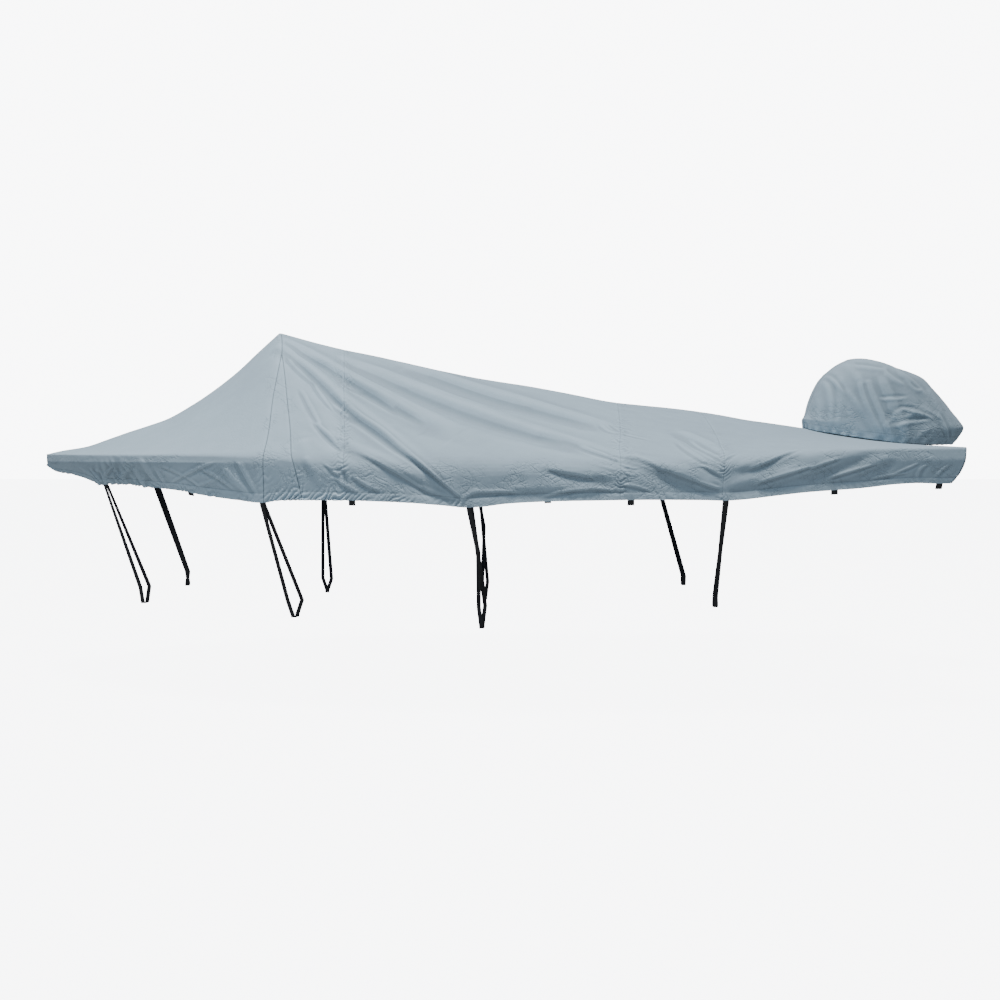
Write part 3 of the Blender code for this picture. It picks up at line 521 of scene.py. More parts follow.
# %% Creases of the long side, from the third tie to the stern
AFT_LINES = [
    (1.62, 0.85, 1.76, 0.88, 1.88, 0.90, 18, 0, 5.5),
    (1.56, 0.59, 1.70, 0.62, 1.83, 0.69, 22, 0, 4.0),
    (1.81, 0.69, 1.91, 0.75, 2.00, 0.80, 11, 0, 6.5),
    (1.24, 0.95, 1.36, 0.95, 1.48, 0.96, 11, 0, 5.5),
    (1.61, 0.98, 1.73, 0.96, 1.85, 0.95, 11, 0, 6.0),
    (1.83, 0.95, 1.90, 0.95, 1.98, 0.96, 10, 0, 4.5),
    (2.02, 0.77, 2.12, 0.80, 2.22, 0.86, 14, 0, 3.5),
    (2.20, 0.85, 2.32, 0.89, 2.43, 0.93, 14, 0, 4.0),
    (2.42, 0.55, 2.47, 0.71, 2.53, 0.82, 12, 0, 5.5),
    (2.35, 0.60, 2.39, 0.75, 2.47, 0.84, 16, 0, 4.0),
    (2.41, 0.92, 2.47, 0.94, 2.53, 0.95, 10, 0, 5.5),
    (2.67, 0.87, 2.78, 0.84, 2.94, 0.77, 14, 0, 5.0),
    (2.71, 0.94, 2.86, 0.91, 3.01, 0.88, 13, 0, 6.5),
    (3.00, 0.89, 3.07, 0.87, 3.15, 0.85, 11, 0, 5.0),
    (3.11, 0.94, 3.20, 0.92, 3.35, 0.88, 11, 0, 6.0),
    (3.33, 0.96, 3.43, 0.95, 3.53, 0.94, 10, 0, 3.5),
    (3.46, 0.94, 3.53, 0.91, 3.58, 0.88, 10, 0, 4.5),
    (3.59, 0.97, 3.60, 0.92, 3.63, 0.89, 10, 0, 4.5),
    (3.69, 0.96, 3.72, 0.92, 3.75, 0.89, 10, 0, 4.5),
]
print("creases of the long side:", len(AFT_LINES))

# %% Creases of the hood
# x, z at the start, bend and end, then width, rise and step in millimetres
HOOD_CREASES = [
    (3.39, -0.27, 3.42, -0.40, 3.41, -0.59, 18, 0, 5.0),
    (3.35, -0.35, 3.35, -0.46, 3.35, -0.58, 15, 4.0, 0),
    (3.41, -0.24, 3.44, -0.30, 3.48, -0.38, 15, 0, 4.0),
    (3.30, -0.40, 3.30, -0.49, 3.31, -0.58, 13, 0, 3.5),
    (3.62, -0.30, 3.65, -0.42, 3.77, -0.68, 21, 7.0, 0),
    (3.59, -0.32, 3.61, -0.44, 3.74, -0.68, 17, 0, 5.0),
    (3.48, -0.35, 3.58, -0.49, 3.68, -0.66, 19, 5.0, 0),
    (3.68, -0.42, 3.76, -0.42, 3.85, -0.41, 12, 0, 4.0),
    (3.72, -0.58, 3.78, -0.50, 3.84, -0.48, 13, 0, 5.0),
    (3.83, -0.48, 3.92, -0.50, 4.02, -0.54, 14, 0, 6.0),
    (3.75, -0.59, 3.86, -0.56, 3.99, -0.55, 14, 0, 5.0),
    (3.56, -0.21, 3.64, -0.22, 3.74, -0.24, 17, 0, 6.0),
    (3.73, -0.24, 3.78, -0.29, 3.84, -0.33, 20, 0, 6.0),
    (3.87, -0.32, 3.91, -0.36, 3.95, -0.36, 13, 0, 4.0),
    (3.89, -0.68, 3.95, -0.63, 4.00, -0.60, 13, 4.0, 0),
    (4.05, -0.51, 4.10, -0.58, 4.14, -0.67, 15, 0, 4.0),
    (3.98, -0.35, 4.05, -0.45, 4.07, -0.55, 18, 3.0, 0),
    (3.51, -0.19, 3.54, -0.25, 3.57, -0.32, 22, 3.0, 0),
]
print("creases of the hood:", len(HOOD_CREASES))

# %% From creases to folds
BEND_WIDTH = 1.3              # a crease's width at its bend, against the row's own
END_WIDTH = 0.85
CREASE_SHIFT = 0.035          # how far the far side's creases stray along it, in metres
GIRTH_SHIFT = 0.012           # and down it, as a girth share
KEEP_BELOW = 0.6              # keeps four in five of the draws from -1 to 1
FAR_DEPTH = 0.9               # depth of the far side's creases against the rows' own
FAR_SEED = 5


def as_folds(creases):
    """Crease rows in the form of fold rows, in metres, widest at the bend."""
    return [(*row[:6], row[6] / 1000, BEND_WIDTH * row[6] / 1000, END_WIDTH * row[6] / 1000,
             row[7] / 1000, row[8] / 1000) for row in creases]


def strayed(creases, seed):
    """The same kinds of crease moved by a seeded draw, four in five of them."""
    draw = np.random.default_rng(seed)
    moved = []
    for row in creases:
        dx, dv, keep = draw.uniform(-1, 1, 3)
        if keep < KEEP_BELOW:
            shift = np.array([dx * CREASE_SHIFT, dv * GIRTH_SHIFT] * 3)
            moved.append((*(np.array(row[:6]) + shift), row[6], FAR_DEPTH * row[7],
                          FAR_DEPTH * row[8]))
    return moved


PORT_CREASES = TIE_PULLS + BOW_SKIRT + SEAM_CREASES + AFT_LINES
STARBOARD_CREASES = strayed(PORT_CREASES, FAR_SEED)
print("creases:", len(PORT_CREASES), "port,", len(STARBOARD_CREASES), "starboard,",
      len(HOOD_CREASES), "hood")

# %% [markdown]
# Sewing gathers cloth. Along a seam it makes short waves across the seam that die out within a
# hand's width, and along the hem it makes waves that die out upwards. Both come from a wave whose
# phase wanders, so no two puckers are alike.

# %% Tables of puckers and gathers
# seam, v from, v to, height mm, pitch mm, reach mm, fan, lean
PUCKERS = [
    ("fore", 0.24, 0.48, 3.2, 31, 42, 0.0, -0.8), ("fore", 0.46, 0.66, 3.0, 28, 36, 0.2, -0.6),
    ("fore", 0.64, 0.80, 3.2, 24, 44, -0.3, 0.0), ("fore", 0.78, 1.00, 2.5, 33, 60, 0.5, 0.5),
    ("mid", 0.30, 0.62, 2.2, 38, 50, 0.0, -0.5), ("mid", 0.58, 0.98, 2.9, 36, 60, -0.3, -0.2),
    ("aft", 0.42, 0.80, 1.8, 24, 32, 0.5, 0.3), ("aft", 0.76, 1.00, 2.0, 25, 40, 0.6, 0.4),
    ("gusset_fore", 0.82, 1.00, 1.0, 46, 40, 0.0, 0.5),
    ("gusset_aft", 0.80, 1.00, 1.5, 40, 40, 0.2, 0.6),
]
# x from, x to, height mm, pitch mm, reach mm, lean
GATHERS = [
    (-1.36, -0.95, 2.4, 80, 70, 0.2), (-1.02, -0.58, 7.0, 46, 150, 0.35),
    (-0.66, -0.18, 5.0, 29, 34, 0.9), (-0.20, 0.10, 2.4, 40, 28, -0.7),
    (0.10, 0.92, 6.5, 36, 42, -1.2), (0.86, 1.18, 3.0, 44, 32, -1.0),
    (1.24, 1.95, 0.9, 70, 28, 0.4), (1.95, 2.56, 1.2, 46, 26, 0.4),
    (2.56, 3.20, 1.1, 52, 24, 0.8), (3.15, 3.80, 1.4, 44, 30, 0.9),
]
print("rows of puckers:", len(PUCKERS), "stretches of hem:", len(GATHERS))

# %% Noise
def noise(a, b, cell, seed):
    """Smooth values from -1 to 1: random numbers on a square lattice, blended between."""
    lattice = np.random.default_rng(seed).uniform(-1, 1, (64, 64))
    p, q = a / cell, b / cell
    i, j = np.floor(p).astype(int), np.floor(q).astype(int)
    s, t = smooth(p - i), smooth(q - j)
    low = lattice[i % 64, j % 64] * (1 - s) + lattice[(i + 1) % 64, j % 64] * s
    high = lattice[i % 64, (j + 1) % 64] * (1 - s) + lattice[(i + 1) % 64, (j + 1) % 64] * s
    return low * (1 - t) + high * t


def strength(a, b, seed, cell, mean, spread, most):
    """How high a wave is from place to place: a mean and some noise, from 0 to the most."""
    return np.clip(mean + spread * noise(a, b, cell, seed), 0, most)


print("noise at one place:", noise(np.array([0.5]), np.array([0.2]), 0.1, 21).round(3).tolist())

# %% Puckers
PUCKER_ENDS = 0.04            # girth share over which a row of puckers fades in and out
PUCKER_WANDER = 0.85          # turns by which its phase wanders
PUCKER_CELL = 0.048           # distance over which it does so
PUCKER_TWIST = 2.2            # radians by which the waves behind a seam are out of step
PUCKER_TWIST_OVER = 0.03
PUCKER_STRENGTH = (0.06, 0.55, 1.1, 1.5)   # cell of the noise, mean, spread, most
PUCKER_SEEDS = (11, 51)       # of the phase and the strength in the first row


def pucker_height(x, v, shifted):
    """Short waves across each seam, dying out with the distance from it.

    A fan turns them up or down on both sides of the seam alike, a lean turns them all one way.
    """
    s = shifted * GIRTH
    total = np.zeros_like(x)
    for k, (seam, v0, v1, high, pitch, reach, fan, lean) in enumerate(PUCKERS):
        d = x - seam_x(seam, v)
        shape = np.exp(-(d / (reach / 1000)) ** 2) * window(np.abs(v), v0, v1, PUCKER_ENDS)
        wander = noise(s, 1.6 * d, PUCKER_CELL, PUCKER_SEEDS[0] + k) * PUCKER_WANDER
        phase = 2 * math.pi * ((s + fan * np.abs(d) + lean * d) / (pitch / 1000) + wander)
        phase = phase + PUCKER_TWIST * np.clip(d / PUCKER_TWIST_OVER, 0, 1)
        share = strength(s, d, PUCKER_SEEDS[1] + k, *PUCKER_STRENGTH)
        total += high / 1000 * shape * share * (np.sin(phase) + 0.3 * np.sin(2 * phase + 1))
    return total


print("longest pucker reach:", max(row[5] for row in PUCKERS), "mm")

# %% Gathers
GATHER_ENDS = 0.05            # distance over which a stretch of gathers fades in and out
GATHER_CELL = 0.045           # distance over which its phase wanders by up to a turn
GATHER_STRENGTH = (0.09, 0.6, 1.1, 1.6)    # cell of the noise, mean, spread, most
GATHER_SEEDS = (91, 131)


def gather_height(x, v, shifted):
    """Waves along the hem, dying out upwards."""
    up = (1 - np.abs(v)) * GIRTH
    x_own = x + shifted - np.abs(v)
    total = np.zeros_like(x)
    for k, (x0, x1, high, pitch, reach, lean) in enumerate(GATHERS):
        shape = window(x, x0, x1, GATHER_ENDS) * np.exp(-(up / (reach / 1000)) ** 2)
        wander = noise(x_own, 0.4 * up, GATHER_CELL, GATHER_SEEDS[0] + k)
        phase = 2 * math.pi * ((x_own + lean * up) / (pitch / 1000) + wander)
        share = strength(x_own, up, GATHER_SEEDS[1] + k, *GATHER_STRENGTH)
        total += high / 1000 * shape * share * (np.sin(phase) + 0.25 * np.sin(2 * phase))
    return total


print("highest gathers:", max(row[2] for row in GATHERS), "mm")

# %% Ripple
PULL_LINE = (0.93, 0.37)      # direction of the pull lines on the flat cloth: aft, down
AFT_OF_PEAK = (0.15, 9.0, 0.4)    # x from, x to, fading over
ON_SKIRT = (0.80, 1.2, 0.10)  # girth share from, to, fading over
PULLED_RIPPLE = 0.0012        # its height along the pull lines, and everywhere
EVEN_RIPPLE = 0.0005
SKIRT_RIPPLE = 0.0007         # what the skirt has more


def ripple_height(x, v, shifted):
    """A faint unevenness: stretched along the pull lines aft of the peak, round before it."""
    s = shifted * GIRTH
    along = PULL_LINE[0] * x + PULL_LINE[1] * s
    across = -PULL_LINE[1] * x + PULL_LINE[0] * s
    aft = window(x, *AFT_OF_PEAK)
    pulled = noise(along, across * 3.2, 0.34, 21) + 0.45 * noise(along, across * 3, 0.13, 22)
    even = noise(x, s, 0.22, 23) + 0.4 * noise(x, s, 0.08, 24)
    skirt = window(np.abs(v), *ON_SKIRT)
    return PULLED_RIPPLE * aft * pulled + (EVEN_RIPPLE + SKIRT_RIPPLE * skirt) * even


one_ripple = ripple_height(np.array([1.2]), np.array([-0.4]), np.array([0.4]))
print("ripple at one place: %.2f mm" % (1000 * one_ripple[0]))

# %% [markdown]
# ## The fine surface
# The sheet is the bare shape pushed outwards along its own normals. First come the main folds of
# the solid, on the slopes almost a third deeper and on the skirt almost a third flatter, then the
# creases, puckers, gathers and ripple. Where webbing is sewn to the hem the cloth lies calmer,
# because the webbing holds it. The hem itself is a turned-up strip, so it stands a little proud.

# %% Main folds of the sheet
SLOPE_FULLNESS = 1.30         # main folds of the sheet against the solid's
SKIRT_FULLNESS = 0.68
ON_SLOPE = (-1.0, 0.72, 0.16)  # girth share from, to, fading over
RIDGE_CALM = 0.06             # girth share over which the folds fade out at the ridge


def normal_of(surface, x, v, dx=0.004, dv=0.003):
    """Unit outward normals of a surface, from points on either side of each."""
    along = surface(x + dx, v) - surface(x - dx, v)
    down = surface(x, v + dv) - surface(x, v - dv)
    n = np.cross(along, down)
    return n / np.maximum(np.linalg.norm(n, axis=-1, keepdims=True), 1e-12)


def both_sides(x, v, port, starboard):
    """Fold height from the port rows where v is negative, and from the starboard rows elsewhere."""
    total = np.zeros_like(x)
    for rows, side in ((port, v < 0), (starboard, v >= 0)):
        total[side] = fold_height(x[side], np.abs(v[side]) * GIRTH, on_girth(rows))
    return total


def main_lift(x, v):
    """The solid's own folds, which fade out at the ridge, deeper or flatter by the fullness."""
    slope = window(np.abs(v), *ON_SLOPE)
    full = 1 + (SLOPE_FULLNESS - 1) * slope + (SKIRT_FULLNESS - 1) * (1 - slope)
    near_ridge = np.clip(np.abs(v) / RIDGE_CALM, 0, 1)
    return both_sides(x, v, PORT_FOLDS, STARBOARD_FOLDS) * near_ridge * full


print("outwards near the port hem:",
      normal_of(base, np.array([1.2]), np.array([-0.95])).round(2).tolist())

# %% Seams, hem and sewn webbing
SEWN_X = (-0.953, -0.345, 0.098, 0.595, 1.223, 1.630, 2.065, 2.563, 3.140, 3.715)
HELD_ALONG = 0.030            # how far sewn webbing calms the cloth along the hem
HELD_UP = 0.040               # and up from it
HELD_SHARE = 0.75             # share of the small waves that it takes away
ALL_SEAMS = ("gusset_fore", "gusset_aft", "fore", "mid", "aft", "stern")
COVERED = 0.0020              # how far the cloth laps over a cross seam
HEM_TURN = 0.044              # height of the turned-up hem
HEM_RAISE = 0.0018            # how far it stands proud
HEM_STEP = 0.006              # height over which it rises


def calm(x, v):
    """1 on free cloth, less beside webbing that is sewn to the hem."""
    up = (1 - np.abs(v)) * GIRTH
    held = np.zeros_like(x)
    for place in SEWN_X:
        held += np.exp(-((x - place) / HELD_ALONG) ** 2) * np.exp(-(up / HELD_UP) ** 2)
    return 1 - HELD_SHARE * np.clip(held, 0, 1)


def seam_distance(x, v):
    """Distance to the nearest seam, in metres; the cross seams lie covered by a fold of cloth."""
    near = np.full_like(x, 1.0)
    for name in ALL_SEAMS:
        off = np.abs(x - seam_x(name, v))
        if name.startswith("gusset"):
            off = np.where(np.abs(v) > GUSSET_TOP, off, np.abs(x - seam_x("gusset_fore", v)))
        else:
            off = off + COVERED
        near = np.minimum(near, off)
    return near


def hem_raise(up, turn):
    """How far the turned-up strip stands proud at heights above the hem."""
    return HEM_RAISE * np.clip((turn - up) / HEM_STEP + 0.5, 0, 1)


print("webbing is sewn on at", len(SEWN_X), "places a side")

# %% Small heights
HEM_FLARE = 0.0040            # how far the lower edge of the hem stands out
SEAM_DIP = 0.0014             # depth of the valley at a seam
SEAM_DIP_WIDTH = 0.006        # and half its width
FAR_SIDE = 5.7                # shift that gives the far side its own puckers


def fine_lift(x, v):
    """Creases, puckers, gathers and ripple, the proud hem and the dip at the seams."""
    shifted = np.abs(v) + np.where(v < 0, 0.0, FAR_SIDE)
    creases = both_sides(x, v, as_folds(PORT_CREASES), as_folds(STARBOARD_CREASES))
    small = creases + pucker_height(x, v, shifted) + gather_height(x, v, shifted)
    up = (1 - np.abs(v)) * GIRTH
    small = small + HEM_FLARE * np.clip(1 - up / HEM_TURN, 0, 1)
    dip = SEAM_DIP * np.exp(-(seam_distance(x, v) / SEAM_DIP_WIDTH) ** 2)
    hem = hem_raise(up, HEM_TURN)
    return small * calm(x, v) + ripple_height(x, v, shifted) + hem - dip


print("hem stands out by %.1f mm" % (1000 * (HEM_RAISE + HEM_FLARE)))

# %% [markdown]
# ## From heights to a sheet
# Cloth has two faces and an edge. The outer face needs a fine grid for its creases, while the
# inner face is hidden and follows at every third point, two millimetres below the lowest cloth
# around it, so the two never cross. Six-sided faces close the edge between the fine and the
# coarse grid. That keeps a long panel far below the triangle limit, which a plain Solidify
# modifier would pass.

# %% Spacing of the grid
STEP_X = 0.0070               # grid along the cover
STEP_SEAM = 0.0050            # grid beside a seam
SEAM_ZONE = 0.035             # how wide the closer grid is
# girth share from, to, and grid down the cloth
ROW_STEPS = ((0.00, 0.30, 0.0140), (0.30, 0.78, 0.0072), (0.78, 1.00, 0.0054))
COARSE = 3                    # the inner face has every third point


def rows_of(start, stop):
    """Girth shares between two limits, close together where the small creases are."""
    rows = [start]
    for low, high, pace in ROW_STEPS:
        a, b = max(low, start), min(high, stop)
        if b > a:
            count = max(1, round((b - a) * GIRTH / pace))
            rows += list(np.linspace(a, b, count + 1)[1:])
    return np.array(rows)


def thirds(values):
    """The same range with a count that is a multiple of three, plus one."""
    count = math.ceil((len(values) - 1) / COARSE) * COARSE + 1
    places = np.linspace(0, len(values) - 1, count)
    return np.interp(places, np.arange(len(values)), values)


def shares_of(length):
    """Shares along a panel from seam to seam, closer beside both seams."""
    ends = min(SEAM_ZONE, length / 4)
    near = np.linspace(0, ends, max(2, round(ends / STEP_SEAM)) + 1)
    middle = np.linspace(ends, length - ends, max(2, round((length - 2 * ends) / STEP_X)) + 1)
    return thirds(np.concatenate([near, middle[1:-1], length - near[::-1]]) / length)


print("rows from ridge to hem:", len(thirds(rows_of(0.0, 1.0))))

# %% Low places
def lowest(height, reach=3):
    """The lowest value in a square window round each point."""
    for axis in (0, 1):
        pad = [(reach, reach) if k == axis else (0, 0) for k in (0, 1)]
        wide = np.pad(height, pad, mode="edge")
        n = height.shape[axis]
        height = np.min([np.take(wide, range(k, k + n), axis) for k in range(2 * reach + 1)], 0)
    return height


def hollow(height, reach=3):
    """How far each point lies below the mean of four neighbours, in millimetres."""
    wide = np.pad(height, reach, mode="edge")
    around = (wide[:-2 * reach, reach:-reach] + wide[2 * reach:, reach:-reach]
              + wide[reach:-reach, :-2 * reach] + wide[reach:-reach, 2 * reach:]) / 4
    return (around - height) * 1000


small_step = np.tile(np.arange(9) > 4, (9, 1)) / 1000
print("beside a step of 1 mm a point lies %.2f mm low" % hollow(small_step).max())

# %% Meshes from grids
SHARP = 55                    # degrees past which an edge of cloth is drawn sharp


def quads(index):
    """Faces of a grid of vertex numbers, turned outwards."""
    return np.stack([index[:-1, :-1], index[1:, :-1], index[1:, 1:], index[:-1, 1:]], -1)


def rim(outer, inner):
    """Six-sided faces between a fine edge and a coarse edge that run the same way."""
    n = len(inner) - 1
    fine = [outer[COARSE * np.arange(n) + k] for k in range(COARSE, -1, -1)]
    return np.stack(fine + [inner[:-1], inner[1:]], -1)


def corners_of(mesh):
    """The vertex number at each corner of each face."""
    corner = np.empty(len(mesh.loops), np.int32)
    mesh.loops.foreach_get("vertex_index", corner)
    return corner


def surface_mesh(name, points, faces, layer_name, flat, values):
    """A mesh whose points have a flat place in metres and carry the named numbers."""
    mesh = bpy.data.meshes.new(name)
    mesh.from_pydata(points, [], faces)
    for key, numbers in values.items():
        layer = mesh.attributes.new(key, "FLOAT", "POINT")
        layer.data.foreach_set("value", numbers.astype(np.float32))
    layer = mesh.uv_layers.new(name=layer_name)
    layer.data.foreach_set("uv", flat[corners_of(mesh)].astype(np.float32).ravel())
    return mesh


def closed_sheet(name, outer, inner, values, uv, stem=False):
    """One mesh from the outer grid, the inner grid and the edge between them."""
    fine = np.arange(outer.shape[0] * outer.shape[1]).reshape(outer.shape[:2])
    coarse = fine.size + np.arange(inner.shape[0] * inner.shape[1]).reshape(inner.shape[:2])
    edges = [(fine[:, 0], coarse[:, 0]), (fine[::-1, -1], coarse[::-1, -1]),
             (fine[-1], coarse[-1])]
    if not stem:
        edges.append((fine[0, ::-1], coarse[0, ::-1]))
    faces = quads(fine).reshape(-1, 4).tolist()
    faces += quads(coarse).reshape(-1, 4)[:, ::-1].tolist()
    for a, b in edges:
        faces += rim(a, b).tolist()
    points = np.concatenate([outer.reshape(-1, 3), inner.reshape(-1, 3)])
    flat = np.concatenate([uv.reshape(-1, 2), uv[::COARSE, ::COARSE].reshape(-1, 2)])
    values = {key: np.concatenate([grid.ravel(), grid[::COARSE, ::COARSE].ravel()])
              for key, grid in values.items()}
    mesh = surface_mesh(name, points, faces, "cloth", flat, values)
    if stem:
        close_stem(mesh, np.concatenate([fine[0], coarse[0]]))
    mesh.shade_smooth()
    mesh.set_sharp_from_angle(angle=math.radians(SHARP))
    return add_object(name, mesh)


def close_stem(mesh, column):
    """Join the points of the first column that fall on each other at the bow."""
    shape = bmesh.new()
    shape.from_mesh(mesh)
    shape.verts.ensure_lookup_table()
    bmesh.ops.remove_doubles(shape, verts=[shape.verts[int(k)] for k in column], dist=5e-5)
    bmesh.ops.dissolve_degenerate(shape, dist=1e-6, edges=shape.edges[:])
    shape.to_mesh(mesh)
    shape.free()


def grid_area(points):
    """Area of a grid of points, from the cross products of its cells' diagonals."""
    a = points[1:, 1:] - points[:-1, :-1]
    b = points[1:, :-1] - points[:-1, 1:]
    return float(np.linalg.norm(np.cross(a, b), axis=-1).sum() / 2)


print("faces of a grid of 4 by 4 points:", quads(np.arange(16).reshape(4, 4)).reshape(-1, 4).shape[0])

# %% A dressed piece
CLOTH = 0.002                 # thickness of the sheets, as in the solids
BOW_X = -1.477                # the foremost point, where both sides meet
FLAT_SPARE = 1.02             # a strip is this much larger than the piece cut from it
SHEETS = []


def dress(name, x, v, held, stem=False):
    """A sheet over grid points x, v, laid on the bare shape and lifted by its folds."""
    bare = base(x, v)
    out = normal_of(base, x, v)
    lift = main_lift(x, v) + fine_lift(x, v)
    if stem:
        lift[0] = 0.0
        out[0] = (-1.0, 0.0, 0.0)
        bare[0, :, 1] = 0.0
        bare[0, np.abs(v[0]) <= EDGE_V] = (BOW_X, 0.0, RIDGE_FORE[0][1])
    outer = bare + out * lift[..., None]
    below = (lowest(lift) - CLOTH)[::COARSE, ::COARSE]
    inner = bare[::COARSE, ::COARSE] + out[::COARSE, ::COARSE] * below[..., None]
    values = {"seam_gap": seam_distance(x, v), "hem_gap": (1 - np.abs(v)) * GIRTH,
              "hollow": hollow(lift)}
    flat = np.stack([x, v * GIRTH], -1)
    piece = closed_sheet(name + "_sheet", outer, inner, values, flat, stem)
    area = grid_area(bare)
    length = float(np.linalg.norm(np.diff(bare, axis=1), axis=-1).sum(1).max())
    width = max(float(x.max() - x.min()), FLAT_SPARE * area / length)
    SHEETS.append((piece, name, (width, length), area, held))
    print("%s: %d points, flat %.2f x %.2f m, %.2f m2" % (name, len(piece.data.vertices),
                                                         width, length, area))


# %% [markdown]
# ## Panels and gussets
# Five panels are cut to run from hem to hem, so the only seams are cross seams. Below the peak
# two wedges are let in, because the cloth has to turn from a steep front to a long shallow back.

# %% Panels and gussets
# panel, seam before, seam after, length for its grid
PANELS = [
    ("bow_panel", "stem", "gusset_fore", 1.50), ("fore_panel", "gusset_aft", "fore", 0.40),
    ("mid_panel", "fore", "mid", 1.66), ("aft_panel", "mid", "aft", 0.54),
    ("stern_panel", "aft", "stern", 1.26),
]
GUSSET_START = 0.24           # girth share where the wedge is wide enough to sew
GUSSET_COLUMNS = 31
STEM_CLOSER = 1.15            # power that sets the bow's columns closer towards the stem
SEAM_GAP = 0.00004            # what each piece keeps clear of its seams' lines


def between(before, after, shares, v):
    """Grid of x from one seam to the next, with the seam's gap left at both ends."""
    first, last = seam_x(before, v), seam_x(after, v)
    x = first + (last - first) * shares[:, None]
    if before != "stem":
        x[0] += SEAM_GAP
    x[-1] -= SEAM_GAP
    return x, np.broadcast_to(v, x.shape).copy()


def build_panel(name, before, after, length):
    """A whole panel, from the port hem over the ridge to the starboard hem."""
    half = thirds(rows_of(0.0, 1.0))
    v = np.concatenate([-half[:0:-1], half])
    shares = shares_of(length)
    if before == "stem":
        shares = shares ** STEM_CLOSER
    x, vv = between(before, after, shares, v)
    dress(name, x, vv, "stretched", stem=before == "stem")


def build_gusset(name, side):
    """One wedge, from its point to the hem."""
    v = thirds(rows_of(GUSSET_START, 1.0))
    v = v if side > 0 else -v[::-1]
    x, vv = between("gusset_fore", "gusset_aft", np.linspace(0, 1, GUSSET_COLUMNS), v)
    dress(name, x, vv, "stretched")


for row in PANELS:
    build_panel(*row)
build_gusset("gusset_port", -1)
build_gusset("gusset_starboard", 1)

# %% [markdown]
# ## Stern panel
# A skirt closes the stern. It hangs between the rear corners, bulges a little where nothing
# pulls it, and is cut away in the middle. Its top edge is sewn to the last panel.

# %% Creases of the stern panel
# y, z of three points across the skirt, width, rise, step in millimetres
TRANSOM_CREASES = [
    (-0.98, -0.88, -0.86, -0.82, -0.70, -0.76, 22, 0, 6.0),
    (-0.96, -0.79, -0.80, -0.77, -0.60, -0.78, 20, 0, 5.0),
    (-0.52, -0.90, -0.48, -0.82, -0.50, -0.74, 24, 5.0, 0),
    (-0.34, -0.82, -0.40, -0.78, -0.46, -0.73, 16, 0, 4.0),
    (0.97, -0.89, 0.84, -0.81, 0.68, -0.77, 22, 0, 6.0),
    (0.95, -0.78, 0.78, -0.76, 0.55, -0.79, 20, 0, 5.0),
    (0.62, -0.90, 0.60, -0.83, 0.63, -0.75, 24, 5.0, 0),
    (0.33, -0.83, 0.41, -0.79, 0.49, -0.74, 16, 0, 4.0),
]
print("creases of the stern panel:", len(TRANSOM_CREASES))

# %% Bare stern panel
NOTCH_SLOPE = (0.222, 0.234)  # girth shares over which the notch's side rises
NOTCH_Z = -0.812
SIDE_COLUMNS = 96             # columns of the grid on each side of the notch, and over it
NOTCH_COLUMNS = 76
TRANSOM_ROWS = 40
HEM_PULLED_IN = 0.02          # share by which the hem is shorter than the top edge
BEHIND_SEAM = 0.0015          # how far the panel stands behind the last seam
BULGE = 0.010
BULGE_CHANGE = 0.006          # by which the bulge waxes and wanes across the panel


def transom_grid():
    """Girth shares across, shares down, the hem's height, and the points without creases.

    Rows run from the top edge to the hem. x follows the rear edge of the sides, and swells by half
    a sine wave from top to bottom.
    """
    v = thirds(np.concatenate([np.linspace(-EDGE_V, -NOTCH_SLOPE[1], SIDE_COLUMNS),
                               np.linspace(-NOTCH_SLOPE[0], NOTCH_SLOPE[0], NOTCH_COLUMNS),
                               np.linspace(NOTCH_SLOPE[1], EDGE_V, SIDE_COLUMNS)]))
    down = np.linspace(0, 1, TRANSOM_ROWS)[:, None]
    rows = np.linspace(EDGE_V, 1.0, TRANSOM_ROWS)
    top = base(seam_x("stern", v), v)
    side = base(seam_x("stern", rows), rows)
    low = np.interp(np.abs(v), NOTCH_SLOPE, (NOTCH_Z, side[-1, 2]))
    points = np.zeros((len(rows), len(v), 3))
    points[..., 1] = top[:, 1] * (1 - HEM_PULLED_IN * down)
    points[..., 2] = top[:, 2] + (low - top[:, 2]) * down
    lean = np.interp(points[..., 2], side[::-1, 2], side[::-1, 0])
    across = 1 - np.abs(v / EDGE_V) ** 4
    bulge = BULGE + BULGE_CHANGE * np.sin(31 * v + 4 * np.sign(v))
    points[..., 0] = lean + BEHIND_SEAM + CLOTH + across * bulge * np.sin(math.pi * down)
    for end, sign in ((0, -1), (-1, 1)):
        points[:, end, 1:] = base(seam_x("stern", sign * rows), sign * rows)[:, 1:]
    return v, down, low, points


print("stern panel: %.3f m at its ends" % np.ptp(transom_grid()[3][:, 0, 2]))

# %% Stern panel
TRANSOM_HEM = 0.6             # height of its turned-up hem against the sides'
TRANSOM_GATHER = 0.0022       # height of the gathers
TRANSOM_GATHER_UP = 0.035     # how far they reach up from the hem
TRANSOM_GATHER_PITCH = 0.043
GATHERED_V = (0.5, 0.28)      # girth share in the middle of the gathers, and how far they reach
TRANSOM_RIPPLE = 0.0010
TRANSOM_FLAT = 0.20           # height of the strip that the panel is cut from


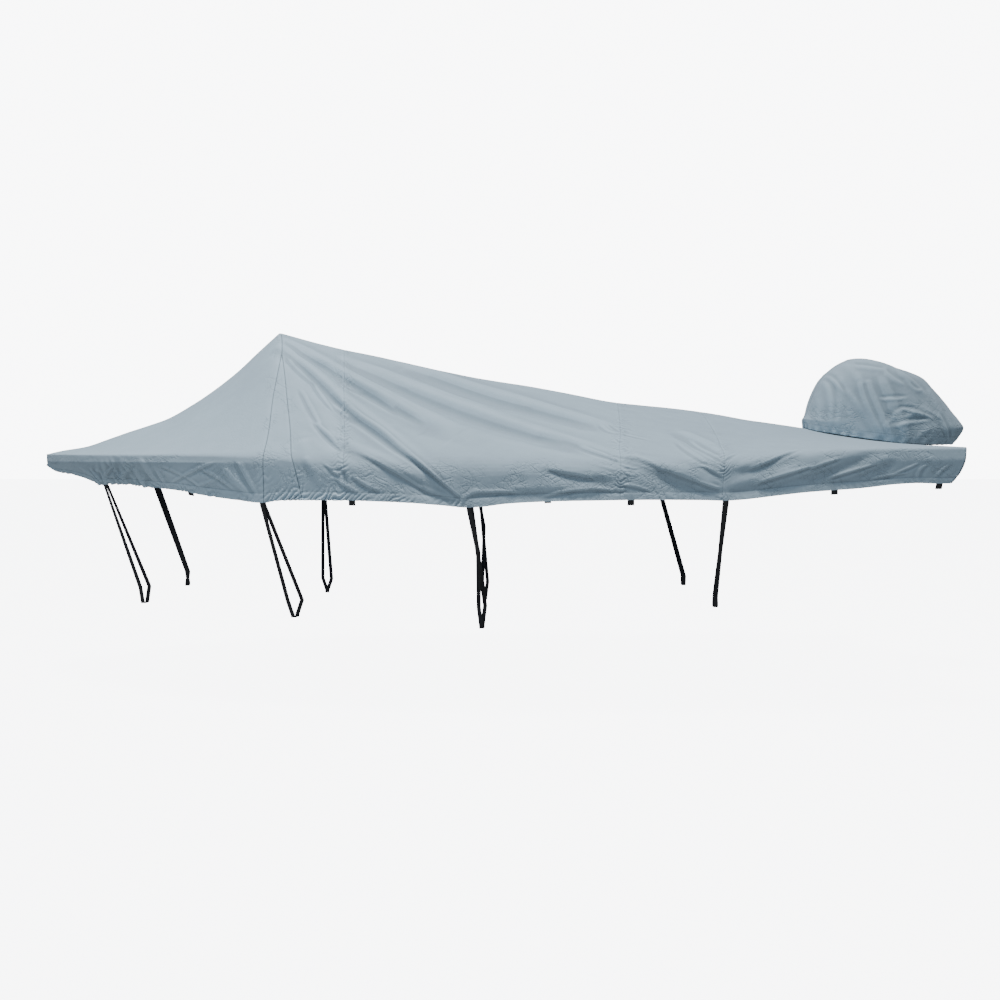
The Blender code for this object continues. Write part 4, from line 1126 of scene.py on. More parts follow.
def transom_lift(v, down, y, z, hem_gap):
    """Creases, gathers and ripple, which fade out at the sewn edges, and the proud hem."""
    lift = fold_height(y, z, as_folds(TRANSOM_CREASES))
    middle, reach = GATHERED_V
    gather = np.exp(-(hem_gap / TRANSOM_GATHER_UP) ** 2)
    gather = gather * np.exp(-((np.abs(v) - middle) / reach) ** 2)
    turns = y / TRANSOM_GATHER_PITCH + 0.5 * noise(y, z, 0.07, 61)
    lift += TRANSOM_GATHER * gather * np.sin(2 * math.pi * turns)
    lift += TRANSOM_RIPPLE * noise(y, z, 0.06, 62) * (1 - np.abs(v / EDGE_V) ** 4)
    lift = lift * np.clip(down * 8, 0, 1) * np.clip((1 - np.abs(v / EDGE_V)) * 12, 0, 1)
    return lift + hem_raise(hem_gap, HEM_TURN * TRANSOM_HEM)


def build_transom():
    """The creased grid, an inner face below it, and the edge between them."""
    v, down, low, points = transom_grid()
    y, z = points[..., 1], points[..., 2]
    hem_gap = (z - low) * np.ones_like(y)
    lift = transom_lift(v, down, y, z, hem_gap)
    points[..., 0] += lift
    inner = points[::COARSE, ::COARSE].copy()
    inner[..., 0] -= CLOTH + (lift - lowest(lift))[::COARSE, ::COARSE]
    ends = np.minimum(down * TRANSOM_FLAT, (1 - np.abs(v / EDGE_V)))
    values = {"seam_gap": ends * np.ones_like(y), "hem_gap": hem_gap, "hollow": hollow(lift)}
    piece = closed_sheet("transom_panel_sheet", points, inner, values, np.stack([y, z], -1))
    area = grid_area(points)
    SHEETS.append((piece, "transom_panel", (TRANSOM_FLAT, float(np.ptp(y))), area, "hung"))
    print("transom_panel: %d points, %.2f m2" % (len(piece.data.vertices), area))


build_transom()

# %% [markdown]
# ## Hood
# The hood is a separate bag that stands behind the ridge. A slice through it is a rounded
# oblong, between an ellipse and a box. It hangs in upright folds over what it covers, and its
# foot is gathered. It is sewn from two halves, so a seam runs over its middle, front to rear. It
# is small enough for a Solidify modifier to give it its thickness.

# %% Slices and rim of the hood
# slices: height, front x, rear x, half width
HOOD = [
    (-0.702, 3.300, 4.210, 0.224), (-0.655, 3.296, 4.250, 0.233),
    (-0.596, 3.294, 4.280, 0.238), (-0.556, 3.300, 4.256, 0.238),
    (-0.500, 3.314, 4.208, 0.238), (-0.430, 3.334, 4.150, 0.234),
    (-0.350, 3.366, 4.080, 0.225), (-0.290, 3.402, 4.020, 0.210),
    (-0.250, 3.437, 3.940, 0.188), (-0.215, 3.478, 3.848, 0.158),
    (-0.185, 3.522, 3.770, 0.118), (-0.166, 3.560, 3.708, 0.070),
]
HOOD_TOP = (3.630, -0.157)
# rim, which lies on the cover: x, z on the centreline, z at the sides
HOOD_RIM = [
    (3.290, -0.587, -0.620), (3.400, -0.605, -0.635), (3.560, -0.631, -0.658),
    (3.750, -0.661, -0.682), (3.840, -0.675, -0.692), (4.020, -0.690, -0.700),
    (4.300, -0.702, -0.702),
]
print("slices:", len(HOOD), "rim points:", len(HOOD_RIM))

# %% Main folds of the hood
# x, z of three points, widths, rise, step
HOOD_PORT_FOLDS = [
    (3.69, -0.28, 3.76, -0.470, 3.86, -0.680, 0.030, 0.034, 0.030, 0.011, 0.000),
    (3.56, -0.25, 3.62, -0.440, 3.76, -0.660, 0.030, 0.036, 0.030, 0.008, 0.000),
    (3.47, -0.27, 3.44, -0.430, 3.43, -0.600, 0.024, 0.028, 0.024, 0.007, 0.000),
    (3.82, -0.62, 3.91, -0.500, 4.10, -0.560, 0.024, 0.030, 0.024, 0.008, 0.000),
    (3.80, -0.22, 3.90, -0.300, 3.99, -0.400, 0.024, 0.030, 0.024, 0.000, 0.007),
]
HOOD_STARBOARD_FOLDS = [
    (3.66, -0.27, 3.74, -0.470, 3.84, -0.680, 0.030, 0.036, 0.030, 0.010, 0.000),
    (3.48, -0.28, 3.46, -0.430, 3.46, -0.600, 0.024, 0.028, 0.024, 0.007, 0.000),
    (3.86, -0.62, 3.96, -0.480, 4.10, -0.540, 0.024, 0.030, 0.024, 0.008, 0.000),
]
print("main folds:", len(HOOD_PORT_FOLDS), "port,", len(HOOD_STARBOARD_FOLDS), "starboard")

# %% Bare hood
HOOD_POWER = 2.5              # 2 would make the slices ellipses, and more than 2 squarer ones
RIM_POWER = 0.75
RIM_HEIGHT = 0.22             # height over which the slices bend down to the rim


def hood_point(angle, height):
    """The bare hood: a rounded oblong at each height, its foot following the rim line."""
    front = curve(HOOD, 1, height)
    rear = curve(HOOD, 2, height)
    wide = curve(HOOD, 3, height)
    c, s = np.cos(angle), np.sin(angle)
    x = (front + rear) / 2 + (rear - front) / 2 * np.sign(c) * np.abs(c) ** (2 / HOOD_POWER)
    y = wide * np.sign(s) * np.abs(s) ** (2 / HOOD_POWER)
    low = HOOD[0][0]
    middle, side = curve(HOOD_RIM, 1, x), curve(HOOD_RIM, 2, x)
    rim = middle + (side - middle) * np.clip(np.abs(y) / HOOD[0][3], 0, 1) ** RIM_POWER
    z = height + (rim - low) * smooth(np.clip(1 - (height - low) / RIM_HEIGHT, 0, 1))
    return np.stack([x, y, z], -1)


print("hood's rear at half height:", hood_point(np.zeros(1), np.full(1, -0.43)).round(3).tolist())

# %% Heights on the hood
HOOD_SEED = 9
HOOD_CENTRE = 0.12            # distance from the middle within which the folds fade out
FOOT_WAVE = 0.0022
FOOT_WAVES = 34               # waves round the foot
FOOT_UP = 0.030
HOOD_RIPPLE = 0.0022
HOOD_FINE_RIPPLE = 0.0009


def hood_lift(angle, height, bare):
    """Folds and creases, waves round the foot, a ripple, and the dip of the seam in the middle.

    The noise runs with x plus a part of y, which has no jump where the angle closes.
    """
    x, y, z = bare[..., 0], bare[..., 1], bare[..., 2]
    port = fold_height(x, z, HOOD_PORT_FOLDS) + fold_height(x, z, as_folds(HOOD_CREASES))
    far = fold_height(x, z, HOOD_STARBOARD_FOLDS)
    far += fold_height(x, z, as_folds(strayed(HOOD_CREASES, HOOD_SEED)))
    lift = np.where(y < 0, port, far) * np.clip(np.abs(y) / HOOD_CENTRE, 0, 1)
    foot = np.exp(-((height - HOOD[0][0]) / FOOT_UP) ** 2)
    round_it = x + 1.7 * y
    lift += FOOT_WAVE * foot * np.sin(FOOT_WAVES * angle + 3 * noise(round_it, height, 0.1, 71))
    lift += HOOD_RIPPLE * noise(round_it, height * 0.5, 0.10, 72)
    lift += HOOD_FINE_RIPPLE * noise(round_it, height, 0.05, 73)
    return lift - SEAM_DIP * np.exp(-(y / SEAM_DIP_WIDTH) ** 2)


print("waves round the foot:", FOOT_WAVES)

# %% Hood
HOOD_COLUMNS = 288
HOOD_ROWS = 112
HOOD_METRES = 0.33            # metres of cloth per radian round the hood
HOOD_CUT = 1.45               # width of the piece that the hood is cut from
HOOD_SPARE = 1.15             # that piece is this much larger than the sewn hood
TOP_SHARES = (0.25, 0.5, 0.75)


def hood_rings(angle, height):
    """Rings up to the last slice, then rings that close on the top point as on a dome."""
    bare = hood_point(angle, height)
    lift = hood_lift(angle, height, bare)
    rings = bare + normal_of(hood_point, angle, height, dx=0.02) * lift[..., None]
    last = rings[-1]
    top = np.array([HOOD_TOP[0], 0.0, HOOD_TOP[1]])
    for share in TOP_SHARES:
        ring = last * (1 - share) + top * share
        ring[:, 2] = last[:, 2] + (top[2] - last[:, 2]) * (1 - (1 - share) ** 2)
        rings = np.concatenate([rings, ring[None]])
    return rings, top, lift


def close_round(mesh):
    """The first column also ends the round. Where a face of the last column reaches it, its flat
    place is set from 0 to the full turn, so the weave runs on without a smear."""
    corner = corners_of(mesh)
    place = np.empty(2 * len(corner), np.float32)
    layer = mesh.uv_layers["cloth"]
    layer.data.foreach_get("uv", place)
    place = place.reshape(-1, 2)
    beside = np.maximum(np.roll(place[:, 0], 1), np.roll(place[:, 0], -1))
    closing = (corner % HOOD_COLUMNS == 0) & (beside > 6 * HOOD_METRES)
    place[closing, 0] = HOOD_METRES * 2 * math.pi
    layer.data.foreach_set("uv", place.ravel())


def build_hood():
    """The rings with quads between them, triangles round the top point, and a wall inwards."""
    angle = np.arange(HOOD_COLUMNS) / HOOD_COLUMNS * 2 * math.pi
    height = np.linspace(HOOD[0][0], HOOD[-1][0], HOOD_ROWS)
    a, h = np.meshgrid(angle, height)
    rings, top, lift = hood_rings(a, h)
    index = np.arange(rings.shape[0] * HOOD_COLUMNS).reshape(rings.shape[:2])
    index = np.concatenate([index, index[:, :1]], 1)
    faces = quads(index).reshape(-1, 4)[:, ::-1].tolist()
    tip = rings.shape[0] * HOOD_COLUMNS
    faces += [(int(p), int(q), tip) for p, q in zip(index[-1, :-1], index[-1, 1:])]
    points = np.concatenate([rings.reshape(-1, 3), top[None]])
    extra = len(points) - h.size
    y = hood_point(a, h)[..., 1]
    values = {"seam_gap": np.append(np.abs(y), np.ones(extra)),
              "hem_gap": np.append(h - height[0], np.ones(extra)),
              "hollow": np.append(hollow(lift), np.zeros(extra))}
    flat = np.stack([(a * HOOD_METRES).ravel(), h.ravel()], -1)
    flat = np.concatenate([flat, np.zeros((extra, 2))])
    mesh = surface_mesh("motor_hood_sheet", points, faces, "cloth", flat, values)
    close_round(mesh)
    mesh.shade_smooth()
    piece = add_object("motor_hood_sheet", mesh)
    wall = piece.modifiers.new("wall", "SOLIDIFY")
    wall.thickness = CLOTH
    wall.offset = -1
    area = grid_area(np.concatenate([rings, rings[:, :1]], 1))
    SHEETS.append((piece, "motor_hood", (HOOD_CUT, HOOD_SPARE * area / HOOD_CUT), area, "draped"))
    print("hood: %d points, %.2f m2" % (len(mesh.vertices), area))


build_hood()

# %% [markdown]
# ## Webbing
# Two kinds of webbing hang from the hem: short loops, each a ring sewn behind the cloth, and
# long tie-downs. A tie goes down from the hem, round an open bight, and back up beside itself.
# Webbing is a flat profile with round edges that is carried along a path, so one function
# makes both.

# %% Ribbon maker
PROFILE_TURNS = 5             # points round each edge of the webbing
WEB_SHARP = 60                # degrees past which its edge is drawn sharp


def profile(width, thick):
    """Closed outline of the webbing: two half circles joined by straight runs."""
    turn = np.linspace(-math.pi / 2, math.pi / 2, PROFILE_TURNS)
    right = np.stack([width / 2 - thick / 2 + thick / 2 * np.cos(turn), thick / 2 * np.sin(turn)], -1)
    flat = np.stack([np.array([0.25, 0.0, -0.25]) * width, np.full(3, thick / 2)], -1)
    half = np.concatenate([right, flat])
    return np.concatenate([half, -half])


def ribbon(name, path, across, width, thick, closed=False):
    """The profile carried along a path, its width turned into the given direction."""
    path = np.array(path, dtype=float)
    if closed:
        tangent = np.roll(path, -1, 0) - np.roll(path, 1, 0)
    else:
        tangent = np.gradient(path, axis=0)
    tangent /= np.linalg.norm(tangent, axis=1, keepdims=True)
    wide = np.broadcast_to(np.array(across, dtype=float), path.shape)
    wide = wide - (wide * tangent).sum(1, keepdims=True) * tangent
    wide = wide / np.linalg.norm(wide, axis=1, keepdims=True)
    up = np.cross(tangent, wide)
    shape = profile(width, thick)
    rings = (path[:, None] + shape[None, :, :1] * wide[:, None] + shape[None, :, 1:] * up[:, None])
    n, m = rings.shape[:2]
    index = np.arange(n * m).reshape(n, m)
    index = np.concatenate([index, index[:, :1]], 1)
    if closed:
        index = np.concatenate([index, index[:1]])
    faces = quads(index).reshape(-1, 4)[:, ::-1].tolist()
    if not closed:
        faces += [index[0, :-1].tolist(), index[-1, :-1][::-1].tolist()]
    run = np.concatenate([[0], np.cumsum(np.linalg.norm(np.diff(path, axis=0), axis=1))])
    flat = np.stack(np.broadcast_arrays(shape[None, :, 0], run[:, None]), -1).reshape(-1, 2)
    mesh = surface_mesh(name, rings.reshape(-1, 3), faces, "webbing", flat, {})
    mesh.shade_smooth()
    mesh.set_sharp_from_angle(angle=math.radians(WEB_SHARP))
    return add_object(name, mesh)


print("points round the webbing:", len(profile(0.025, 0.0016)))

# %% Where webbing leaves the hem
HEM_SPAN = 0.012              # half the stretch of hem that gives its direction
ABOVE_HEM = 0.957             # girth share of a point above the hem, for the outward direction


def folded_cloth(x, v):
    """The cloth with its main folds, for a few points."""
    return base(x, v) + normal_of(base, x, v) * main_lift(x, v)[..., None]


def hem_frame(x, side):
    """Hem point at x, and the directions along the hem, down and out of the cloth."""
    places = np.array([x - HEM_SPAN, x, x + HEM_SPAN])
    low = folded_cloth(places, np.full(3, float(side)))
    above = folded_cloth(places, np.full(3, side * ABOVE_HEM))
    along = low[2] - low[0]
    along /= np.linalg.norm(along)
    out = np.cross(along, low[1] - above[1]) * side
    out /= np.linalg.norm(out)
    down = np.cross(along, out)
    down *= np.sign(-down[2])
    return low[1], along, down / np.linalg.norm(down), out


point, along, down, out = hem_frame(1.2, -1)
print("hem at 1.2 m:", np.round(point, 3).tolist(), "outwards:", np.round(out, 2).tolist())

# %% [markdown]
# The loops are all alike but sit at their own heights, since they were sewn on by hand. Each
# ring is two half turns, one below the hem and one behind it.

# %% Loops
WEB_T = 0.0016                # thickness of all webbing
LOOP_W = 0.036
LOOP_GAP = 0.0032             # the slot in a loop
LOOP_RISE = 0.024             # how far it goes up behind the hem
LOOP_BEHIND = 0.0009          # clearance between the cloth and the loop
LOOP_TURNS = 11               # points of each half turn
# name, x, drop below the hem
LOOPS = [
    ("loop_1", -0.345, 0.026), ("loop_2", 0.595, 0.030), ("loop_3", 1.630, 0.011),
    ("loop_4", 2.065, 0.031), ("loop_5", 3.140, 0.026), ("loop_6", 3.715, 0.034),
]
WEBBING = []
SIDES = (("port", -1), ("starboard", 1))


def build_loop(node, x, drop, side):
    """A flat ring: each point is turned about the centre of one of its two ends."""
    point, along, down, out = hem_frame(x, side)
    middle = point - out * (CLOTH + LOOP_BEHIND + WEB_T + LOOP_GAP / 2)
    r = (LOOP_GAP + WEB_T) / 2
    turn = np.radians(np.concatenate([np.linspace(-90, 90, LOOP_TURNS),
                                      np.linspace(90, 270, LOOP_TURNS)]))
    centre = np.repeat([drop - r - WEB_T / 2, r - LOOP_RISE], LOOP_TURNS)
    path = (middle + down * (centre + r * np.cos(turn))[:, None]
            + out * (r * np.sin(turn))[:, None])
    piece = ribbon(node + "_webbing", path, along, LOOP_W, WEB_T, closed=True)
    WEBBING.append((piece, node))


for side_name, side in SIDES:
    for name, x, drop in LOOPS:
        build_loop("%s_%s" % (name, side_name), x, drop, side)
print("loops:", len(WEBBING))

# %% [markdown]
# Each tie follows the same few points as in the solids: behind the hem, down to the bight,
# across it, and up again. The corners are rounded by cutting them twice.

# %% Route of a tie
STRAP_W = 0.025
BIGHT_W = 0.050               # width of what a tie goes round
BIGHT_CLEAR = 0.004           # how far it keeps off that
TUCKED = 0.020                # how far the ends go up behind the hem
PAST_HEM = 0.012              # length along which they still follow the cloth
BACK_DEPTH = 0.0070           # how far the back strand's outer face lies behind the cloth
FRONT_DEPTH = 0.0046
# rounding at the bight's lower corner: inwards, up
BIGHT_TURN = ((0.000, 0.010), (0.003, 0.001), (0.011, -0.003))
TIE_STEP = 0.010              # longest distance between points before the corners are cut
LOWER_SHARE = 0.6             # how much of its own x a strand keeps at the bottom of the bight
# name, x at the hem of the front and back strand, x of both at the bight, y of the bight's
# outer side, its top and bottom z, and a bend on the way down
TIES = [
    ("tie_1", -0.962, -0.944, -0.748, -0.716, -0.420, -1.543, -1.640, None),
    ("tie_2", 0.092, 0.104, 0.153, 0.223, -0.550, -1.607, -1.704, None),
    ("tie_3", 1.216, 1.230, 1.258, 1.294, -0.600, -1.633, -1.760,
     (1.264, -0.985, -1.286)),
    ("tie_4", 2.558, 2.568, 2.636, 2.640, -0.520, -1.583, -1.650, None),
]


def closely(points, step):
    """Points along a broken line, no further apart than the step."""
    spread = [points[:1]]
    for a, b in zip(points[:-1], points[1:]):
        count = max(1, math.ceil(np.linalg.norm(b[:3] - a[:3]) / step))
        share = (np.arange(count) + 1)[:, None] / count
        spread.append(a * (1 - share) + b * share)
    return np.concatenate(spread)


def cut_corners(points):
    """Each corner is replaced by two points, a quarter of the way along its two lines."""
    near = 0.75 * points[:-1] + 0.25 * points[1:]
    far = 0.25 * points[:-1] + 0.75 * points[1:]
    middle = np.stack([near, far], 1).reshape(-1, points.shape[1])
    return np.concatenate([points[:1], middle, points[-1:]])


def strand(x, depth, end_x, low_x, y_end, inward, top_z, low_z, bend, side):
    """Points of one strand from behind the hem down to the middle of the bight, with the
    direction of the webbing's width at each."""
    point, along, down, out = hem_frame(x, side)
    start = point - out * (CLOTH + depth - WEB_T / 2)
    places = [start - down * TUCKED, start + down * PAST_HEM]
    turns = [along, along]
    if bend is not None:
        places.append(np.array([bend[0], side * abs(bend[1]), bend[2]]))
    places.append(np.array([end_x, y_end, top_z - BIGHT_CLEAR]))
    places += [np.array([low_x, y_end + inward * a, low_z + b]) for a, b in BIGHT_TURN]
    turns += [np.array([1.0, 0.0, 0.0])] * (len(places) - 2)
    return np.concatenate([np.array(places), np.array(turns)], 1)


print("points of a strand:", len(strand(1.2, BACK_DEPTH, 1.2, 1.2, -0.6, 1, -1.6, -1.7, None, -1)))


def build_tie(node, front_x, back_x, end_front, end_back, face_y, top_z, low_z, bend, side):
    """The back strand down, across the bight, and the front strand up to the hem."""
    inner = side * (abs(face_y) - BIGHT_W - BIGHT_CLEAR)
    outer = side * (abs(face_y) + BIGHT_CLEAR)
    other = 1 - LOWER_SHARE
    low_back = other * end_front + LOWER_SHARE * end_back
    low_front = LOWER_SHARE * end_front + other * end_back
    back = strand(back_x, BACK_DEPTH, end_back, low_back, inner, side, top_z, low_z, None, side)
    front = strand(front_x, FRONT_DEPTH, end_front, low_front, outer, -side, top_z, low_z, bend,
                   side)
    route = closely(np.concatenate([back, front[::-1]]), TIE_STEP)
    route = cut_corners(cut_corners(route))
    piece = ribbon(node + "_webbing", route[:, :3], route[:, 3:], STRAP_W, WEB_T)
    WEBBING.append((piece, node))


for side_name, side in SIDES:
    for name, *sizes in TIES:
        build_tie("%s_%s" % (name, side_name), *sizes, side)

# %% [markdown]
# ## Finishes
# The cloth's finish is put together from small shader groups: a plain weave, an unevenness of
# colour, fine wrinkles and a row of stitches. A group only works out values over the surface.
# The shader stays in the material, so that its own settings can be read one by one. The
# webbing's finish is simpler and needs no group.

# %% Node helpers
def wire(tree, operation, *values):
    """A Math node whose inputs are numbers or other nodes' outputs; returns its output."""
    node = tree.nodes.new("ShaderNodeMath")
    node.operation = operation
    for socket, value in zip(node.inputs, values):
        if isinstance(value, (int, float)):
            socket.default_value = value
        else:
            tree.links.new(value, socket)
    return node.outputs[0]


def new_group(name, inputs, outputs):
    """A shader group with named sockets; returns it with its input and output nodes."""
    group = bpy.data.node_groups.new(name, "ShaderNodeTree")
    for socket, kind in inputs:
        group.interface.new_socket(name=socket, in_out="INPUT", socket_type=kind)
    for socket, kind in outputs:
        group.interface.new_socket(name=socket, in_out="OUTPUT", socket_type=kind)
    return group, group.nodes.new("NodeGroupInput"), group.nodes.new("NodeGroupOutput")


def place_group(tree, group, **values):
    """A group placed in a material; returns its outputs."""
    node = tree.nodes.new("ShaderNodeGroup")
    node.node_tree = group
    for key, value in values.items():
        if isinstance(value, (int, float)):
            node.inputs[key].default_value = value
        else:
            tree.links.new(value, node.inputs[key])
    return node.outputs


def split(tree, vector):
    """The three parts of a vector."""
    node = tree.nodes.new("ShaderNodeSeparateXYZ")
    tree.links.new(vector, node.inputs[0])
    return node.outputs


def grain(tree, place, scale, detail):
    """A noise texture's value at a place in metres."""
    node = tree.nodes.new("ShaderNodeTexNoise")
    node.inputs["Scale"].default_value = scale
    node.inputs["Detail"].default_value = detail
    tree.links.new(place, node.inputs["Vector"])
    return node.outputs[0]


print("node helpers ready")

# %% [markdown]
# Plain weave is the simplest cloth: each thread goes over one and under the next. The product
# of two waves gives that chequered height. A stitch row is a narrow band at a set distance from
# a seam, cut into dashes. Fine wrinkles are lines along which a stretched noise passes its middle
# value, in patches.

# %% Weave and mottle
# noise scale per metre, detail, share: broad weathering, blotches, single threads
MOTTLE_SETS = ((2.2, 3.0, 0.55), (13.0, 4.0, 0.45), (240.0, 2.0, 0.35))


def make_weave():
    """Height in metres: the product of a wave across and a wave along."""
    group, start, end = new_group(
        "plain_weave", [("Place", "NodeSocketVector"), ("Pitch", "NodeSocketFloat"),
                        ("Depth", "NodeSocketFloat")], [("Height", "NodeSocketFloat")])
    parts = split(group, start.outputs["Place"])
    waves = []
    for part in (parts[0], parts[1]):
        turns = wire(group, "DIVIDE", part, start.outputs["Pitch"])
        waves.append(wire(group, "SINE", wire(group, "MULTIPLY", turns, math.pi)))
    height = wire(group, "MULTIPLY", waves[0], waves[1])
    height = wire(group, "MULTIPLY", height, start.outputs["Depth"])
    group.links.new(height, end.inputs["Height"])
    return group


def make_mottle():
    """A factor round 1: broad weathering, blotches of a hand's width, and single threads."""
    group, start, end = new_group(
        "mottle", [("Place", "NodeSocketVector"), ("Strength", "NodeSocketFloat")],
        [("Factor", "NodeSocketFloat")])
    total = None
    for scale, detail, share in MOTTLE_SETS:
        value = wire(group, "SUBTRACT", grain(group, start.outputs["Place"], scale, detail), 0.5)
        value = wire(group, "MULTIPLY", value, share)
        total = value if total is None else wire(group, "ADD", total, value)
    total = wire(group, "MULTIPLY_ADD", total, start.outputs["Strength"], 1.0)
    group.links.new(total, end.inputs["Factor"])
    return group


WEAVE = make_weave()
MOTTLE = make_mottle()
print("groups:", [group.name for group in bpy.data.node_groups])

# %% Fine wrinkles and stitches
WRINKLE_SHARPNESS = 22.0
WRINKLE_STRETCH = 3.4         # how much longer than wide the wrinkles' noise is
PATCH_SCALE = 7.0             # patches of wrinkles per metre
PATCH_FROM = 0.42             # noise value at which a patch begins
PATCH_EDGE = 7.0              # how hard its edge is
THREAD_HALF = 0.0009          # half the width of a stitch row
STITCHED = 0.74               # share of each dash that is thread


def make_wrinkles():
    """Narrow valleys, 1 at their deepest: where a stretched noise passes its middle value."""
    group, start, end = new_group(
        "fine_wrinkles", [("Place", "NodeSocketVector"), ("Angle", "NodeSocketFloat"),
                          ("Scale", "NodeSocketFloat")], [("Depth", "NodeSocketFloat")])
    turn = group.nodes.new("ShaderNodeVectorRotate")
    turn.rotation_type = "Z_AXIS"
    group.links.new(start.outputs["Place"], turn.inputs["Vector"])
    group.links.new(start.outputs["Angle"], turn.inputs["Angle"])
    stretch = group.nodes.new("ShaderNodeVectorMath")
    stretch.operation = "MULTIPLY"
    stretch.inputs[1].default_value = (1.0, WRINKLE_STRETCH, 1.0)
    group.links.new(turn.outputs[0], stretch.inputs[0])
    field = group.nodes.new("ShaderNodeTexNoise")
    field.inputs["Detail"].default_value = 1.5
    field.inputs["Distortion"].default_value = 0.5
    group.links.new(stretch.outputs[0], field.inputs["Vector"])
    group.links.new(start.outputs["Scale"], field.inputs["Scale"])
    off = wire(group, "ABSOLUTE", wire(group, "SUBTRACT", field.outputs[0], 0.5))
    near = wire(group, "MAXIMUM", wire(group, "MULTIPLY_ADD", off, -WRINKLE_SHARPNESS, 1.0), 0.0)
    patch = grain(group, start.outputs["Place"], PATCH_SCALE, 1.0)
    patch = wire(group, "MULTIPLY", wire(group, "SUBTRACT", patch, PATCH_FROM), PATCH_EDGE)
    patch = wire(group, "MINIMUM", wire(group, "MAXIMUM", patch, 0.0), 1.0)
    group.links.new(wire(group, "MULTIPLY", near, patch), end.inputs["Depth"])
    return group


def make_stitches():
    """1 on a thread: a narrow band at Offset from the seam, cut into dashes along it."""
    group, start, end = new_group(
        "stitch_row", [("Gap", "NodeSocketFloat"), ("Along", "NodeSocketFloat"),
                       ("Offset", "NodeSocketFloat"), ("Dash", "NodeSocketFloat")],
        [("Thread", "NodeSocketFloat")])
    off = wire(group, "ABSOLUTE", wire(group, "SUBTRACT", start.outputs["Gap"],
                                       start.outputs["Offset"]))
    on_row = wire(group, "SUBTRACT", 1.0, wire(group, "DIVIDE", off, THREAD_HALF))
    on_row = wire(group, "MAXIMUM", on_row, 0.0)
    phase = wire(group, "FRACT", wire(group, "DIVIDE", start.outputs["Along"],
                                      start.outputs["Dash"]))
    dash = wire(group, "LESS_THAN", phase, STITCHED)
    group.links.new(wire(group, "MULTIPLY", on_row, dash), end.inputs["Thread"])
    return group


WRINKLES = make_wrinkles()
STITCHES = make_stitches()
print("groups:", [group.name for group in bpy.data.node_groups])

# %% [markdown]
# The cloth is coated polyester, blue-grey. It scatters light almost evenly, so it is rough, with
# a trace of sheen from loose fibre ends. Each piece's brightness is painted light: higher at the
# bow and lower aft, as the light falls on it, and the hood is darker. The skirt is painted
# lighter towards the hem, most abeam of the peak, and the hood and stern panel a little at their
# foot; these two are painted lighter at the front and darker towards the rear. Creases have
# painted shade and ridges painted light, and each seam has a painted dark line. The turned-up hem
# is double, and its strip is painted lighter, with a painted shadow line above it.

# %% Shader helpers for finishes
def attribute(tree, name):
    """A number that the mesh carries."""
    node = tree.nodes.new("ShaderNodeAttribute")
    node.attribute_name = name
    return node.outputs["Fac"]


def ramp(tree, value, low, high, from_value, to_value):
    """A smooth change between two values as the input goes from low to high."""
    node = tree.nodes.new("ShaderNodeMapRange")
    node.interpolation_type = "SMOOTHSTEP"
    for key, number in (("From Min", low), ("From Max", high), ("To Min", from_value),
                        ("To Max", to_value)):
        node.inputs[key].default_value = number
    tree.links.new(value, node.inputs["Value"])
    return node.outputs[0]


def new_finish(name, layer_name, settings):
    """A material with the shader's plain settings; returns it, its real place and its flat one."""
    paint = bpy.data.materials.new(name)
    paint.use_nodes = True
    nodes = paint.node_tree.nodes
    for key, value in settings.items():
        nodes["Principled BSDF"].inputs[key].default_value = value
    flat = nodes.new("ShaderNodeUVMap")
    flat.uv_map = layer_name
    return paint, nodes.new("ShaderNodeTexCoord").outputs["Object"], flat.outputs[0]


def give(tree, colour, height):
    """The colour goes to the shader, and the height in metres to its normal."""
    shader = tree.nodes["Principled BSDF"]
    tree.links.new(colour, shader.inputs["Base Color"])
    relief = tree.nodes.new("ShaderNodeBump")
    relief.inputs["Strength"].default_value = 1.0
    relief.inputs["Distance"].default_value = 1.0
    tree.links.new(height, relief.inputs["Height"])
    tree.links.new(relief.outputs[0], shader.inputs["Normal"])


print("finish helpers ready")

# %% Brightness of the cloth
MOTTLE_STRENGTH = 0.26
# painted shadow: a dark line painted just above the hem strip
HEM_SHADOW_LINE = 0.22               # how dark the line above the hem strip is
HEM_SHADOW_UP = 0.0475          # its height, and half its width
HEM_SHADOW_HALF = 0.0035
REAR_FOOT_PAINTED_LIGHT = 0.06             # how much lighter the foot of the stern panel and hood is painted
# ramps: from, to, value at from, value at to
# painted shade in creases and painted light on ridges: darker where a point lies below its
# neighbours, lighter above
CREASE_PAINTED_SHADE = (-1.5, 2.2, 1.06, 0.80)      # over millimetres below the neighbours
# painted light: the turned-up hem strip is painted lighter than the skirt above it
HEM_STRIP_PAINTED_LIGHT = (0.040, 0.045, 1.06, 1.0)     # over the height above the hem
# painted light: paler towards the hem, on the sides' skirt most abeam of the peak
PAINTED_LIGHT_HEIGHT = (0.10, 0.28, 1.0, 0.0)
BOW_SKIRT_PAINTED_LIGHT = (-0.80, -0.40, 0.02, 0.28)      # over x
AFT_SKIRT_PAINTED_LIGHT = (0.35, 1.10, 0.0, -0.20)
# painted shade: a dark line painted along each seam, where its valley lies
SEAM_PAINTED_SHADE = (0.0008, 0.0042, 0.50, 1.0)    # over the distance from the seam
# painted light and shade on the hood and stern panel: lighter at the front, darker towards the rear
REAR_PAINTED_SHADE = (3.55, 4.10, 1.05, 0.84)       # over x


def skirt_painted_light(tree, along):
    """How much lighter the skirt is painted than the slope: most abeam of the peak, least at the bow.
    """
    return wire(tree, "ADD", ramp(tree, along, *BOW_SKIRT_PAINTED_LIGHT), ramp(tree, along, *AFT_SKIRT_PAINTED_LIGHT))


